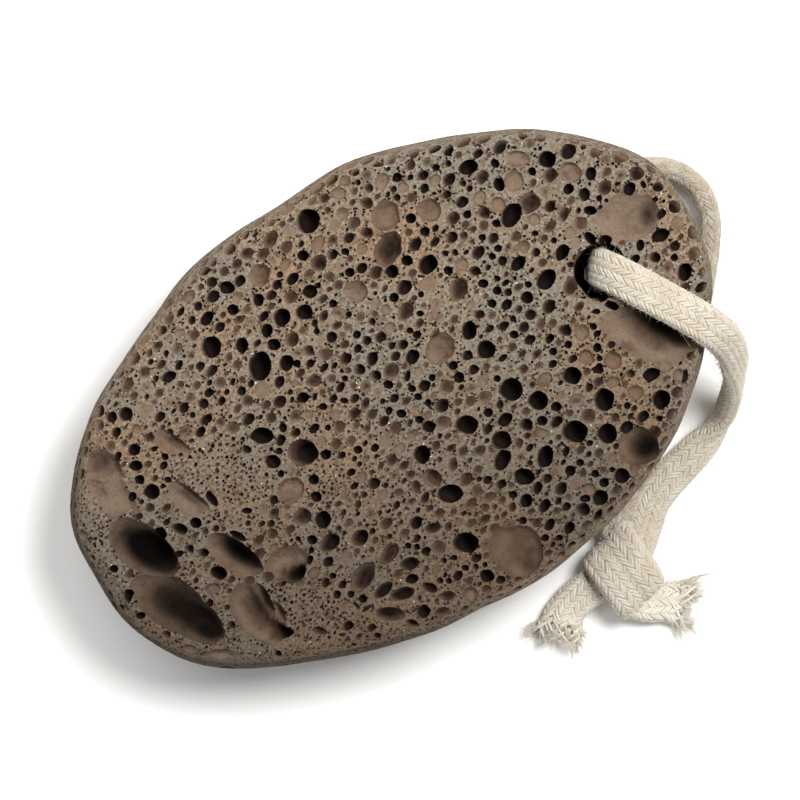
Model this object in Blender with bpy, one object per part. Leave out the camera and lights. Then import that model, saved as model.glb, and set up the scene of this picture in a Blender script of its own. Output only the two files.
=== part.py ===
"""Pumice foot stone on a cotton cord: a flat-cut oval of vesicular stone, drilled near one end.

Frame: metres, +Z up out of the cut face, +X along the stone towards the drilled end, origin on the
surface that the stone rests on, under the middle of the stone. Sizes below are in millimetres.
"""
import math
import random

import bmesh
import bpy
from mathutils import Matrix, Vector
from mathutils.bvhtree import BVHTree

MM = 0.001

# ---- the stone ----
STONE_LENGTH = 104.4
STONE_WIDTH = 68.4
STONE_HEIGHT = 26.0
WIDEST_HEIGHT = 15.0            # height of the widest outline
SPOKES = 48                     # points round each outline

# Reach of the widest outline from its middle, every 10 degrees from +X towards +Y.
OUTLINE_REACH = (52.2, 52.2, 49.2, 45.8, 42.3, 39.4, 37.6, 36.2, 34.6, 34.0, 34.7, 35.6,
                 37.0, 38.5, 41.2, 45.3, 49.1, 52.0, 52.2, 52.1, 49.9, 45.6, 41.2, 38.3,
                 36.2, 34.9, 33.9, 34.0, 34.8, 35.7, 37.3, 39.2, 42.0, 44.7, 47.7, 51.2)

# The rounded edge of the cut face: how far inside the widest outline, and how high.
FACE_EDGE = ((0.15, 19.5), (0.5, 22.6), (1.1, 24.5), (1.9, 25.5), (3.0, STONE_HEIGHT))

# The worn underside: an oval rest facet towards the plain end, and a belly up to the widest outline.
REST_LENGTH = 54.0
REST_WIDTH = 34.0
REST_SHIFT = -13.0
BELLY_STEPS = (0.25, 0.45, 0.62, 0.77, 0.89, 0.97)
BELLY_POWER = 1.6               # 2 would be a quarter ellipse

HOLE_PLACE = (36.3, 0.1)
HOLE_DIAMETER = 8.0
HOLE_FLARE = 0.3                # wear round the upper mouth
HOLE_SIDES = 20
DRILL_OVERSHOOT = 2.0           # how far the drill's path runs past the stone

# ---- its pits ----
# Pits on the cut face are placed on a layout grid laid over it.
GRID_STEP = 0.148               # millimetres
GRID_TURN = math.radians(32.0)  # from the grid's rows to the stone's length
GRID_MIDDLE = (396, 400)        # column and row over the middle of the stone

# Each pit: column, row, length and width in grid steps, turn in degrees, depth in millimetres.
FACE_PITS = (
    (627, 218, 60, 45, 10, 3.0), (649, 334, 96, 54, -20, 5.0), (637, 447, 38, 36, 0, 4.5),
    (575, 432, 27, 24, 0, 5.0), (607, 434, 22, 21, 0, 4.5), (604, 400, 25, 21, 90, 4.5),
    (572, 376, 20, 19, 0, 4.0), (511, 390, 26, 24, 0, 4.5), (538, 401, 22, 20, 0, 4.5),
    (545, 457, 24, 17, 80, 4.0), (524, 477, 21, 18, 0, 3.5), (422, 455, 21, 17, 90, 5.0),
    (467, 425, 24, 20, 0, 4.0), (486, 350, 21, 19, 40, 3.5), (469, 331, 20, 16, 90, 4.0),
    (517, 550, 50, 48, 0, 3.5), (466, 543, 27, 22, 0, 5.0), (450, 494, 27, 20, 10, 3.5),
    (433, 478, 20, 18, 0, 1.8), (502, 441, 21, 19, 0, 3.0), (600, 498, 18, 16, 50, 3.0),
    (622, 476, 17, 15, 50, 3.0), (145, 551, 80, 38, -38, 5.5), (179, 611, 88, 52, -30, 4.0),
    (264, 618, 76, 38, -48, 4.0), (237, 554, 60, 22, -33, 3.2), (293, 566, 38, 27, 40, 3.6),
    (101, 462, 34, 26, 70, 1.4), (112, 497, 40, 30, -50, 1.2), (190, 496, 35, 12, -40, 2.5),
    (152, 492, 18, 16, 0, 3.0), (219, 573, 18, 14, -20, 2.6), (303, 456, 27, 25, 0, 4.5),
    (260, 367, 30, 22, 80, 5.0), (262, 436, 26, 17, 0, 3.5), (273, 462, 16, 15, 0, 2.5),
    (282, 318, 21, 17, 70, 4.0), (287, 363, 18, 14, 70, 4.0), (242, 346, 18, 13, 90, 4.0),
    (212, 347, 24, 20, 80, 4.0), (305, 313, 18, 16, 0, 3.0), (309, 221, 27, 23, 70, 4.5),
    (227, 288, 16, 14, 0, 2.5), (207, 319, 17, 12, 60, 2.5), (310, 292, 17, 14, 0, 2.5),
    (357, 292, 25, 23, 0, 1.8), (260, 276, 26, 22, 90, 1.8), (511, 216, 28, 20, 70, 4.0),
    (428, 265, 23, 18, 55, 4.0), (392, 272, 15, 14, 0, 3.0), (391, 244, 25, 18, 60, 3.0),
    (562, 253, 20, 13, 60, 3.5), (546, 280, 24, 18, 60, 3.5), (468, 168, 21, 16, 30, 3.5),
    (547, 160, 19, 18, 0, 4.0), (388, 215, 26, 22, 60, 1.8), (430, 211, 26, 24, 0, 1.8),
    (530, 200, 18, 17, 0, 1.8), (518, 264, 19, 13, 55, 3.0), (441, 349, 35, 27, 60, 2.2),
)
WIDE_PIT = 30                   # grid steps: a pit at least this long has more faces

LOOSE_FACE_PITS = 24            # smaller pits scattered between the placed ones
LOOSE_PIT_RADIUS = (0.8, 1.15)
FACE_MARGIN = 0.9               # scattered face pits stay inside this share of the outline
BODY_PITS = 84                  # pits scattered over the sides and the underside
BODY_PIT_RADIUS = (0.9, 2.8)
PLAIN_PIT = 2.1                 # a body pit smaller than this has fewer faces
AIM_BOX = ((-42, 42), (-22, 22), (8, 20))   # body pits are aimed at points inside this box
AIM_CLIMB = (-0.8, 0.45)        # from steeply below to a little above level
AIM_START = 200.0
EDGE_CLEAR = 1.5                # body pits' middles stay this far below the cut face
PIT_WALL = 0.5                  # stone left between neighbouring pits
REST_CLEAR = 9.0                # plain stone round the middle of the rest facet
TIP_CLEAR = 3.0                 # plain stone round the four outermost points
PIT_SEED = 11

# ---- the cord ----
CORD_THICKNESS = 3.4
CORD_SPACING = 4.2              # between the points of a tube's spline
TOUCH_GAP = 0.3                 # between pieces that meet
LYING = CORD_THICKNESS / 2 + 0.05                        # height of a cord's middle on the surface
ON_FACE = STONE_HEIGHT + CORD_THICKNESS / 2 + TOUCH_GAP  # and on the cut face

KNOT_MIDDLE = (15.6, -40.4, 4.6)
KNOT_SIZE = (15.6, 12.4, 9.0)

# Each route starts in the drilled hole and runs into the knot.
FRONT_ROUTE = (
    (36.5, -0.2, 13.1), (36.3, 0.1, 17.2), (35.9, 0.8, 21.0), (36.3, 0.0, 24.7),
    (37.6, -2.1, 27.4), (39.5, -5.4, ON_FACE), (41.3, -8.6, ON_FACE), (43.0, -11.6, ON_FACE),
    (44.6, -14.7, 27.6), (45.8, -17.5, 25.4), (46.2, -19.8, 22.0), (45.8, -22.3, 17.4),
    (44.6, -24.7, 12.0), (42.9, -26.8, 7.0), (40.6, -28.6, 3.5), (37.4, -30.1, LYING),
    (33.0, -31.3, LYING), (28.6, -32.3, LYING), (25.0, -33.8, LYING), (22.1, -36.0, 2.6),
    (19.4, -38.2, 4.0),
)
BACK_ROUTE = (
    (36.5, -0.2, 12.8), (36.5, -0.1, 9.0), (37.1, 0.8, 5.5), (38.9, 3.1, 2.8),
    (41.9, 6.6, LYING), (45.2, 8.9, 2.1), (48.7, 9.8, 2.7), (52.0, 9.0, 3.0),
    (54.7, 6.7, 3.0), (56.1, 2.8, 3.0), (55.3, -1.5, 3.0), (52.8, -5.5, 2.8),
    (49.5, -9.4, 2.3), (45.4, -13.2, LYING), (40.5, -16.8, LYING), (34.9, -20.3, LYING),
    (29.4, -23.8, LYING), (24.1, -27.7, LYING), (20.2, -31.8, 2.3), (17.6, -36.0, 4.0),
)
# Each frayed end runs out of the knot.
LEFT_END_ROUTE = ((10.6, -39.9, 3.6), (7.2, -40.4, 2.4), (4.4, -41.5, LYING), (1.2, -44.4, LYING))
RIGHT_END_ROUTE = ((17.4, -43.4, 3.6), (18.7, -46.6, 2.4), (20.0, -48.6, LYING), (21.6, -50.6, LYING))
FRAY_FLARE = 1.35               # how much wider a frayed tip is than the cord


def remove_everything():
    """Leave an empty scene to build in."""
    for thing in list(bpy.data.objects):
        bpy.data.objects.remove(thing, do_unlink=True)


def new_collection(name):
    collection = bpy.data.collections.new(name)
    bpy.context.scene.collection.children.link(collection)
    return collection


def plain_material(name, colour, roughness):
    material = bpy.data.materials.new(name)
    material.use_nodes = True
    surface = material.node_tree.nodes["Principled BSDF"]
    surface.inputs["Base Color"].default_value = (*colour, 1.0)
    surface.inputs["Roughness"].default_value = roughness
    surface.inputs["Metallic"].default_value = 0.0
    return material


def object_from(shape, name, collection, material=None):
    """Turn a bmesh drawn in millimetres into an object in metres."""
    bmesh.ops.scale(shape, vec=(MM, MM, MM), verts=shape.verts)
    bmesh.ops.recalc_face_normals(shape, faces=shape.faces)
    mesh = bpy.data.meshes.new(name)
    shape.to_mesh(mesh)
    shape.free()
    thing = bpy.data.objects.new(name, mesh)
    collection.objects.link(thing)
    if material:
        mesh.materials.append(material)
    return thing


def as_cutter(thing):
    thing.hide_render = True
    thing.display_type = "WIRE"
    return thing


def cut(thing, cutter):
    modifier = thing.modifiers.new(cutter.name, "BOOLEAN")
    modifier.operation = "DIFFERENCE"
    modifier.object = cutter


# ---- smooth curves ----

def smooth_between(before, start, end, after, part):
    """A value or a point on the Catmull-Rom curve from start to end, at a part from 0 to 1."""
    slope = end - before
    bend = 2 * before - 5 * start + 4 * end - after
    turn = 3 * (start - end) + after - before
    return start + 0.5 * part * (slope + part * (bend + part * turn))


def smooth_route(points, steps=24):
    """A dense run of points on the smooth curve through a route's own points."""
    knots = [Vector(point) for point in points]
    knots = [2 * knots[0] - knots[1], *knots, 2 * knots[-1] - knots[-2]]
    dense = []
    for index in range(1, len(knots) - 2):
        four = knots[index - 1:index + 3]
        dense.extend(smooth_between(*four, step / steps) for step in range(steps))
    return dense + [knots[-2]]


def evenly_spaced(dense, spacing):
    """Points about one spacing apart along a dense run, with both of its ends."""
    reached = [0.0]
    for first, second in zip(dense, dense[1:]):
        reached.append(reached[-1] + (second - first).length)
    count = max(2, round(reached[-1] / spacing))
    spaced, index = [], 0
    for step in range(count + 1):
        wanted = reached[-1] * step / count
        while index < len(dense) - 2 and reached[index + 1] < wanted:
            index += 1
        part = (wanted - reached[index]) / (reached[index + 1] - reached[index])
        spaced.append(dense[index].lerp(dense[index + 1], part))
    return spaced


# ---- the stone ----

def reach_at(angle):
    """Reach of the widest outline at an angle, on a closed smooth curve through OUTLINE_REACH."""
    count = len(OUTLINE_REACH)
    place = (angle / math.tau * count) % count
    start = int(place)
    four = [OUTLINE_REACH[(start + step) % count] for step in (-1, 0, 1, 2)]
    return smooth_between(*four, place - start)


def widest_outline():
    """The widest outline, centred and brought to the stone's length and width."""
    ring = []
    for spoke in range(SPOKES):
        angle = math.tau * spoke / SPOKES
        ring.append(Vector((math.cos(angle), math.sin(angle))) * reach_at(angle))
    low = Vector((min(p.x for p in ring), min(p.y for p in ring)))
    high = Vector((max(p.x for p in ring), max(p.y for p in ring)))
    middle = (low + high) / 2
    along, across = STONE_LENGTH / (high.x - low.x), STONE_WIDTH / (high.y - low.y)
    return [Vector(((p.x - middle.x) * along, (p.y - middle.y) * across)) for p in ring]


def inset_ring(outline, inset, height):
    """The outline moved inwards by one distance all round, at one height."""
    ring = []
    for index, point in enumerate(outline):
        along = outline[(index + 1) % len(outline)] - outline[index - 1]
        inward = Vector((-along.y, along.x)).normalized()
        ring.append((*(point + inward * inset), height))
    return ring


def belly_ring(outline, part):
    """A ring of the underside, from the rest facet (part 0) to the widest outline (part 1)."""
    height = WIDEST_HEIGHT * (1 - (1 - part ** BELLY_POWER) ** (1 / BELLY_POWER))
    ring = []
    for point in outline:
        facet = Vector((point.x * REST_LENGTH / STONE_LENGTH + REST_SHIFT,
                        point.y * REST_WIDTH / STONE_WIDTH))
        ring.append((*facet.lerp(point, part), height))
    return ring


def stack_rings(rings):
    """A closed solid: a circle, one extrusion of its edges for each further ring, and both ends filled.

    The sides are triangles, because four corners of a curved side don't lie in one plane.
    """
    shape = bmesh.new()
    bmesh.ops.create_circle(shape, segments=len(rings[0]), radius=1.0)
    spoke_of = shape.verts.layers.int.new("spoke")
    shape.verts.ensure_lookup_table()
    for spoke, vert in enumerate(shape.verts):
        vert[spoke_of] = spoke
        vert.co = rings[0][spoke]
    rim = shape.edges[:]
    for ring in rings[1:]:
        grown = bmesh.ops.extrude_edge_only(shape, edges=rim)["geom"]
        verts = [item for item in grown if isinstance(item, bmesh.types.BMVert)]
        for vert in verts:
            vert.co = ring[vert[spoke_of]]
        rim = [item for item in grown if isinstance(item, bmesh.types.BMEdge)
               and all(vert in verts for vert in item.verts)]
    bmesh.ops.triangulate(shape, faces=shape.faces[:])
    bmesh.ops.holes_fill(shape, edges=shape.edges[:], sides=0)
    return shape


def stone_shape():
    outline = widest_outline()
    rings = [belly_ring(outline, part) for part in (0.0, *BELLY_STEPS, 1.0)]
    rings += [inset_ring(outline, inset, height) for inset, height in FACE_EDGE]
    return stack_rings(rings)


def hole_shape():
    """The drill's path, a little wider at the worn upper mouth."""
    radius = HOLE_DIAMETER / 2
    steps = ((-DRILL_OVERSHOOT, 0.0), (STONE_HEIGHT - 2 * HOLE_FLARE, 0.0),
             (STONE_HEIGHT, HOLE_FLARE), (STONE_HEIGHT + DRILL_OVERSHOOT, HOLE_FLARE))
    rings = []
    for height, flare in steps:
        ring = []
        for side in range(HOLE_SIDES):
            angle = math.tau * side / HOLE_SIDES
            ring.append((HOLE_PLACE[0] + (radius + flare) * math.cos(angle),
                         HOLE_PLACE[1] + (radius + flare) * math.sin(angle), height))
        rings.append(ring)
    return stack_rings(rings)


# ---- its pits ----

def on_face(column, row):
    """Where a layout grid square lies on the cut face."""
    right, down = column - GRID_MIDDLE[0], row - GRID_MIDDLE[1]
    x = (right * math.cos(GRID_TURN) - down * math.sin(GRID_TURN)) * GRID_STEP
    y = -(right * math.sin(GRID_TURN) + down * math.cos(GRID_TURN)) * GRID_STEP
    return Vector((x, y, STONE_HEIGHT))


class Pits:
    """The bubbles that the cut and the tumbling opened, as one cutter of separate ellipsoids."""

    def __init__(self):
        self.shape = bmesh.new()
        self.taken = []          # place and radius of each pit so far

    def add(self, place, facing, turn, radii, sides, bands):
        matrix = (Matrix.Translation(place) @ facing.to_track_quat("Z", "Y").to_matrix().to_4x4()
                  @ Matrix.Rotation(turn, 4, "Z") @ Matrix.Diagonal((*radii, 1.0)))
        bmesh.ops.create_uvsphere(self.shape, u_segments=sides, v_segments=bands, radius=1.0,
                                  matrix=matrix)
        self.taken.append((place, max(radii[:2])))

    def has_room(self, place, radius):
        return all((place - other).length > radius + wide + PIT_WALL for other, wide in self.taken)


def clear_of_hole(place, radius):
    away = Vector(place[:2]) - Vector(HOLE_PLACE)
    return away.length > HOLE_DIAMETER / 2 + HOLE_FLARE + radius + PIT_WALL


def pits_shape(stone):
    pits = Pits()
    up = Vector((0.0, 0.0, 1.0))
    for column, row, length, width, turn, depth in FACE_PITS:
        radii = (length * GRID_STEP / 2, width * GRID_STEP / 2, depth)
        sides, bands = (12, 8) if length >= WIDE_PIT else (8, 5)
        pits.add(on_face(column, row), up, math.radians(turn) - GRID_TURN, radii, sides, bands)

    draw = random.Random(PIT_SEED)
    target = len(pits.taken) + LOOSE_FACE_PITS
    while len(pits.taken) < target:
        angle, share = draw.uniform(0, math.tau), FACE_MARGIN * math.sqrt(draw.random())
        place = Vector((math.cos(angle), math.sin(angle), 0)) * reach_at(angle) * share + up * STONE_HEIGHT
        radius = draw.uniform(*LOOSE_PIT_RADIUS)
        if pits.has_room(place, radius) and clear_of_hole(place, radius):
            pits.add(place, up, draw.uniform(0, math.tau), (radius, 0.8 * radius, 1.6 * radius), 6, 4)

    tree = BVHTree.FromBMesh(stone)
    outline = widest_outline()
    tips = [max(outline, key=lambda p: p.x), min(outline, key=lambda p: p.x),
            max(outline, key=lambda p: p.y), min(outline, key=lambda p: p.y)]
    tips = [Vector((*tip, WIDEST_HEIGHT)) for tip in tips]
    rest_middle = Vector((REST_SHIFT, 0.0, 0.0))
    target = len(pits.taken) + BODY_PITS
    while len(pits.taken) < target:
        inside = Vector([draw.uniform(*limits) for limits in AIM_BOX])
        angle, climb = draw.uniform(0, math.tau), draw.uniform(*AIM_CLIMB)
        level = math.sqrt(1 - climb * climb)
        outward = Vector((level * math.cos(angle), level * math.sin(angle), climb))
        place, facing = tree.ray_cast(inside + outward * AIM_START, -outward)[:2]
        if place is None:
            continue
        small, large = BODY_PIT_RADIUS
        radius = small + (large - small) * draw.random() ** 2
        free = pits.has_room(place, radius) and clear_of_hole(place, radius)
        free = free and all((place - tip).length > radius + TIP_CLEAR for tip in tips)
        free = free and (place - rest_middle).length > radius + REST_CLEAR
        if free and place.z < STONE_HEIGHT - EDGE_CLEAR:
            sides, bands = (6, 4) if radius < PLAIN_PIT else (8, 6)
            radii = (radius, draw.uniform(0.7, 0.95) * radius, draw.uniform(0.7, 1.1) * radius)
            pits.add(place, facing, draw.uniform(0, math.tau), radii, sides, bands)
    return pits.shape


# ---- the cord ----

def outside_knot(point):
    """Whether a cord's cap may be at this point: its gap away from the knot."""
    reach = (Vector(point) - Vector(KNOT_MIDDLE))
    parts = [reach[axis] / (KNOT_SIZE[axis] / 2 + 2 * TOUCH_GAP) for axis in range(3)]
    return sum(part * part for part in parts) > 1.0


def add_tube(name, route, collection, material, tip_flare=1.0):
    """A plain round tube along a route, stopping short of the knot, a little wider at its tip."""
    dense = [point for point in smooth_route(route) if outside_knot(point)]
    points = evenly_spaced(dense, CORD_SPACING)
    curve = bpy.data.curves.new(name, "CURVE")
    curve.dimensions = "3D"
    curve.bevel_depth = CORD_THICKNESS / 2 * MM
    curve.bevel_resolution = 2
    curve.use_fill_caps = True
    spline = curve.splines.new("POLY")
    spline.points.add(len(points) - 1)
    for number, (knot, point) in enumerate(zip(spline.points, points)):
        knot.co = (*(point * MM), 1.0)
        knot.radius = 1.0 + (tip_flare - 1.0) * number / (len(points) - 1)
    curve.materials.append(material)
    tube = bpy.data.objects.new(name, curve)
    collection.objects.link(tube)
    return tube


def knot_shape():
    shape = bmesh.new()
    size = Matrix.Diagonal((*(0.5 * side for side in KNOT_SIZE), 1.0))
    matrix = Matrix.Translation(KNOT_MIDDLE) @ size
    bmesh.ops.create_uvsphere(shape, u_segments=14, v_segments=9, radius=1.0, matrix=matrix)
    return shape


def main():
    remove_everything()
    parts = new_collection("pumice_foot_stone")
    cutters = new_collection("cutters")
    pumice = plain_material("pumice", (0.19, 0.14, 0.105), 0.95)
    cotton = plain_material("cotton", (0.78, 0.71, 0.60), 0.9)

    solid = stone_shape()
    pits = pits_shape(solid)
    stone = object_from(solid, "pumice_stone", parts, pumice)
    cut(stone, as_cutter(object_from(hole_shape(), "drill_path", cutters)))
    cut(stone, as_cutter(object_from(pits, "bubbles", cutters)))

    object_from(knot_shape(), "cord_knot", parts, cotton).data.shade_smooth()
    add_tube("cord_front", FRONT_ROUTE, parts, cotton)
    add_tube("cord_back", BACK_ROUTE, parts, cotton)
    add_tube("cord_end_left", LEFT_END_ROUTE, parts, cotton, FRAY_FLARE)
    add_tube("cord_end_right", RIGHT_END_ROUTE, parts, cotton, FRAY_FLARE)


main()
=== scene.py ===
import math
import random

import bmesh
import bpy
import numpy as np
from mathutils import Matrix, Vector, noise
from mathutils.bvhtree import BVHTree


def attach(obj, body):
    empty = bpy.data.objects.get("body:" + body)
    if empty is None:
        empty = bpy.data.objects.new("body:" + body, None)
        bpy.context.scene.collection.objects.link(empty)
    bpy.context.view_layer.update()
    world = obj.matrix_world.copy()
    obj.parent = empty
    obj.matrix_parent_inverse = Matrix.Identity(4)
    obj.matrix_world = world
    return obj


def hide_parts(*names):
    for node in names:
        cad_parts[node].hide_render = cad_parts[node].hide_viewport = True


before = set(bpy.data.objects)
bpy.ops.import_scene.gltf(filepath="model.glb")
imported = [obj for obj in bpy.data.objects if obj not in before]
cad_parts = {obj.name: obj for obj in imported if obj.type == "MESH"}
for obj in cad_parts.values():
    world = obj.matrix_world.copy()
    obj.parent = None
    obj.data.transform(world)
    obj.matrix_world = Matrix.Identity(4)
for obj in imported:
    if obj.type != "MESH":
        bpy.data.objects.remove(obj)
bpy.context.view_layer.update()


# ======== The pumice stone ========
# A hand-held oval of volcanic stone foam, sawn flat on one side and tumbled round on the others.
# The saw opened thousands of gas bubbles, from pinpricks to hollows 13 mm long.
# It is drilled through near one end for the cord.

MM = 0.001
UP = Vector((0.0, 0.0, 1.0))

STONE_LENGTH = 104.4
STONE_WIDTH = 68.4
STONE_HEIGHT = 26.0
WIDEST_HEIGHT = 15.0
SPOKES = 160

# Reach of the widest outline from its middle, every 10 degrees from +X towards +Y.
OUTLINE_REACH = (52.2, 52.2, 49.2, 45.8, 42.3, 39.4, 37.6, 36.2, 34.6, 34.0, 34.7, 35.6,
                 37.0, 38.5, 41.2, 45.3, 49.1, 52.0, 52.2, 52.1, 49.9, 45.6, 41.2, 38.3,
                 36.2, 34.9, 33.9, 34.0, 34.8, 35.7, 37.3, 39.2, 42.0, 44.7, 47.7, 51.2)

# The rounded edge of the sawn face: how far inside the widest outline, and how high.
FACE_EDGE = ((0.02, 17.2), (0.15, 19.5), (0.28, 21.2), (0.5, 22.6), (0.78, 23.7), (1.1, 24.5),
             (1.5, 25.1), (1.9, 25.5), (2.4, 25.8), (3.0, STONE_HEIGHT))

REST_LENGTH, REST_WIDTH = 54.0, 34.0    # of the worn flat that it rests on
REST_SHIFT = -13.0              # how far that lies towards the plain end
BELLY_STEPS = (0.2, 0.38, 0.5, 0.62, 0.7, 0.77, 0.83, 0.89, 0.935, 0.97, 0.99)
BELLY_POWER = 1.6               # how full the belly is: 1 would be a cone, and 2 an ellipse
TUMBLING = (0.35, 9.0)          # how uneven tumbling left the sides, and how far apart its dents are

HOLE_PLACE = (35.9, 0.0)
HOLE_RADIUS = 3.95              # at the sawn face
HOLE_NARROWING = 1.5            # how much less it is below, where the drill left the hole narrower
HOLE_LEAN = (0.85, -0.4)        # how far its lower mouth lies from under the upper one
HOLE_NARROWS = (4.0, 16.0)      # narrowest from this height down, and full again this far above it
HOLE_FLARE = 0.3                # how far its mouths are worn back
HOLE_WEAR = (2.4, 4.0)          # how far that wear reaches in, from the upper and the lower mouth
LOWER_MOUTH = 2.0
HOLE_CHIPS = (0.3, 2.4, 0.35)   # its chips: how deep, and how close together round it and down it
HOLE_HEIGHTS = (-2.0, LOWER_MOUTH, 4.0, 7.0, 10.0, 13.0, 16.0, 19.0, 22.0, 24.2, 25.2, 26.2, 28.0)
HOLE_SIDES = 40
HOLE_SHADE_RATE = 0.9                 # how much blacker its wall is painted for each millimetre down: painted shade

# Hollows in the sawn face lie on a layout grid laid over it.
GRID_STEP = 0.148
GRID_TURN = math.radians(32.0)
GRID_MIDDLE = (396, 400)

# Each hollow: column, row, length and width in grid steps, turn in degrees, depth in millimetres.
FACE_HOLLOWS = (
    (575, 432, 27, 24, 0, 5.0), (607, 434, 22, 21, 0, 4.5), (604, 400, 25, 21, 90, 4.5),
    (572, 376, 20, 19, 0, 4.0), (511, 390, 26, 24, 0, 4.5), (538, 401, 22, 20, 0, 4.5),
    (545, 457, 24, 17, 80, 4.0), (524, 477, 21, 18, 0, 3.5), (422, 455, 21, 17, 90, 5.0),
    (467, 425, 24, 20, 0, 4.0), (486, 350, 21, 19, 40, 3.5), (469, 331, 20, 16, 90, 4.0),
    (503, 460, 24, 15, 60, 3.4), (466, 543, 27, 22, 0, 5.0), (450, 494, 27, 20, 10, 3.5),
    (433, 478, 20, 18, 0, 1.8), (502, 441, 21, 19, 0, 3.0), (600, 498, 18, 16, 50, 3.0),
    (622, 476, 17, 15, 50, 3.0), (152, 492, 18, 16, 0, 3.0), (219, 573, 18, 14, -20, 2.6),
    (260, 367, 30, 22, 80, 5.0), (262, 436, 26, 17, 0, 3.5), (273, 462, 16, 15, 0, 2.5),
    (282, 318, 21, 17, 70, 4.0), (287, 363, 18, 14, 70, 4.0), (242, 346, 18, 13, 90, 4.0),
    (212, 347, 24, 20, 80, 4.0), (305, 313, 18, 16, 0, 3.0), (309, 221, 27, 23, 70, 4.5),
    (227, 288, 16, 14, 0, 2.5), (207, 319, 17, 12, 60, 2.5), (310, 292, 17, 14, 0, 2.5),
    (357, 292, 25, 23, 0, 1.8), (260, 276, 26, 22, 90, 1.8), (511, 216, 28, 20, 70, 4.0),
    (428, 265, 23, 18, 55, 4.0), (392, 272, 15, 14, 0, 3.0), (389, 249, 38, 25, 65, 2.8),
    (562, 253, 20, 13, 60, 3.5), (546, 280, 24, 18, 60, 3.5), (468, 168, 21, 16, 30, 3.5),
    (547, 160, 19, 18, 0, 4.0), (387, 216, 33, 28, 60, 1.8), (430, 211, 26, 24, 0, 1.8),
    (529, 204, 26, 22, 55, 2.2), (518, 264, 19, 13, 55, 3.0), (441, 349, 35, 27, 60, 2.2),
    (136, 466, 15, 11, 0, 2.6), (140, 480, 11, 10, 0, 2.4), (160, 534, 15, 14, 0, 3.4),
    (196, 523, 13, 12, 0, 3.0), (274, 345, 14, 13, 0, 3.0), (267, 331, 16, 12, 80, 3.2),
    (233, 310, 13, 12, 0, 3.0), (314, 480, 12, 11, 0, 2.8), (326, 455, 12, 11, 0, 2.8),
    (303, 398, 14, 11, 20, 3.0), (259, 300, 14, 11, 80, 3.0), (303, 256, 13, 12, 0, 3.0),
    (350, 273, 11, 10, 0, 2.8), (407, 261, 13, 12, 0, 3.2), (499, 185, 15, 12, 110, 3.4),
    (411, 219, 12, 11, 0, 3.0), (569, 189, 11, 10, 60, 3.0), (532, 172, 9, 9, 0, 2.8),
    (526, 501, 15, 13, 80, 3.0), (487, 576, 15, 14, 0, 3.2), (590, 239, 15, 10, -50, 3.0),
    (605, 241, 14, 12, 0, 3.4), (589, 292, 16, 10, -60, 4.4), (600, 297, 16, 11, -20, 4.6),
    (612, 306, 15, 9, -20, 3.8), (685, 272, 20, 14, 75, 3.4), (661, 400, 22, 18, 70, 4.4),
    (651, 375, 18, 14, 30, 2.6), (660, 236, 20, 14, 30, 2.4), (590, 211, 14, 10, 0, 3.0),
    (303, 453, 30, 27, 0, 4.2),
)

# Wide hollows, where several bubbles ran together. Each is a group of dips in the same terms.
WIDE_HOLLOWS = (
    ((627, 218, 64, 50, 10, 1.9), (645, 214, 26, 24, 70, 1.2)),
    ((646, 336, 98, 50, -20, 2.2), (664, 328, 84, 36, -28, 3.4)),
    ((638, 447, 42, 40, 0, 3.2), (646, 450, 26, 28, 0, 3.6)),
    ((515, 548, 54, 48, 0, 2.0), (520, 566, 34, 30, -40, 1.6), (529, 556, 26, 26, 0, 2.2)),
    ((143, 549, 80, 46, -38, 2.6), (148, 552, 68, 40, -36, 5.2)),
    ((172, 604, 90, 50, -32, 2.6), (197, 622, 62, 36, -34, 3.6), (208, 631, 34, 22, -20, 2.6)),
    ((252, 612, 62, 38, -58, 2.4), (270, 632, 60, 26, -32, 1.8), (288, 637, 46, 15, -33, 4.2),
     (264, 602, 40, 14, -66, 2.8), (278, 612, 26, 12, -60, 2.0)),
    ((233, 558, 62, 30, -35, 1.4), (237, 553, 62, 21, -36, 4.2)),
    ((287, 562, 44, 32, 20, 1.6), (294, 574, 26, 17, 30, 3.8), (279, 572, 18, 12, 70, 2.0)),
    ((104, 478, 66, 36, -70, 0.8), (118, 502, 42, 28, -50, 0.8), (101, 463, 28, 20, 10, 1.5),
     (113, 468, 20, 14, -60, 1.6), (94, 484, 16, 9, 0, 1.2)),
    ((186, 501, 42, 24, -38, 0.9), (192, 496, 44, 9, -38, 2.0)),
    ((170, 445, 38, 18, -35, 0.7), (175, 441, 38, 8, -35, 1.7)),
)
DIP_CELL = 0.36                 # between the points of such a hollow's floor
DIP_SIDE = 0.62                 # half a cutter's side, as a share of its longest dip
DIP_TOP, DIP_ABOVE = 3.0, 0.9   # how far a cutter rises over the face, and its floor outside its dips
DIP_BLEND = 2.2                 # how sharply its dips keep apart
DIP_SHADE_RATE = 0.43                 # how much blacker its skin is painted for each millimetre down: partly the glass's own darker tone and partly painted shade
DIP_RAGGED = ((2.4, 0.4), (0.8, 0.22))      # its unevenness: how far apart, and how deep

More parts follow.
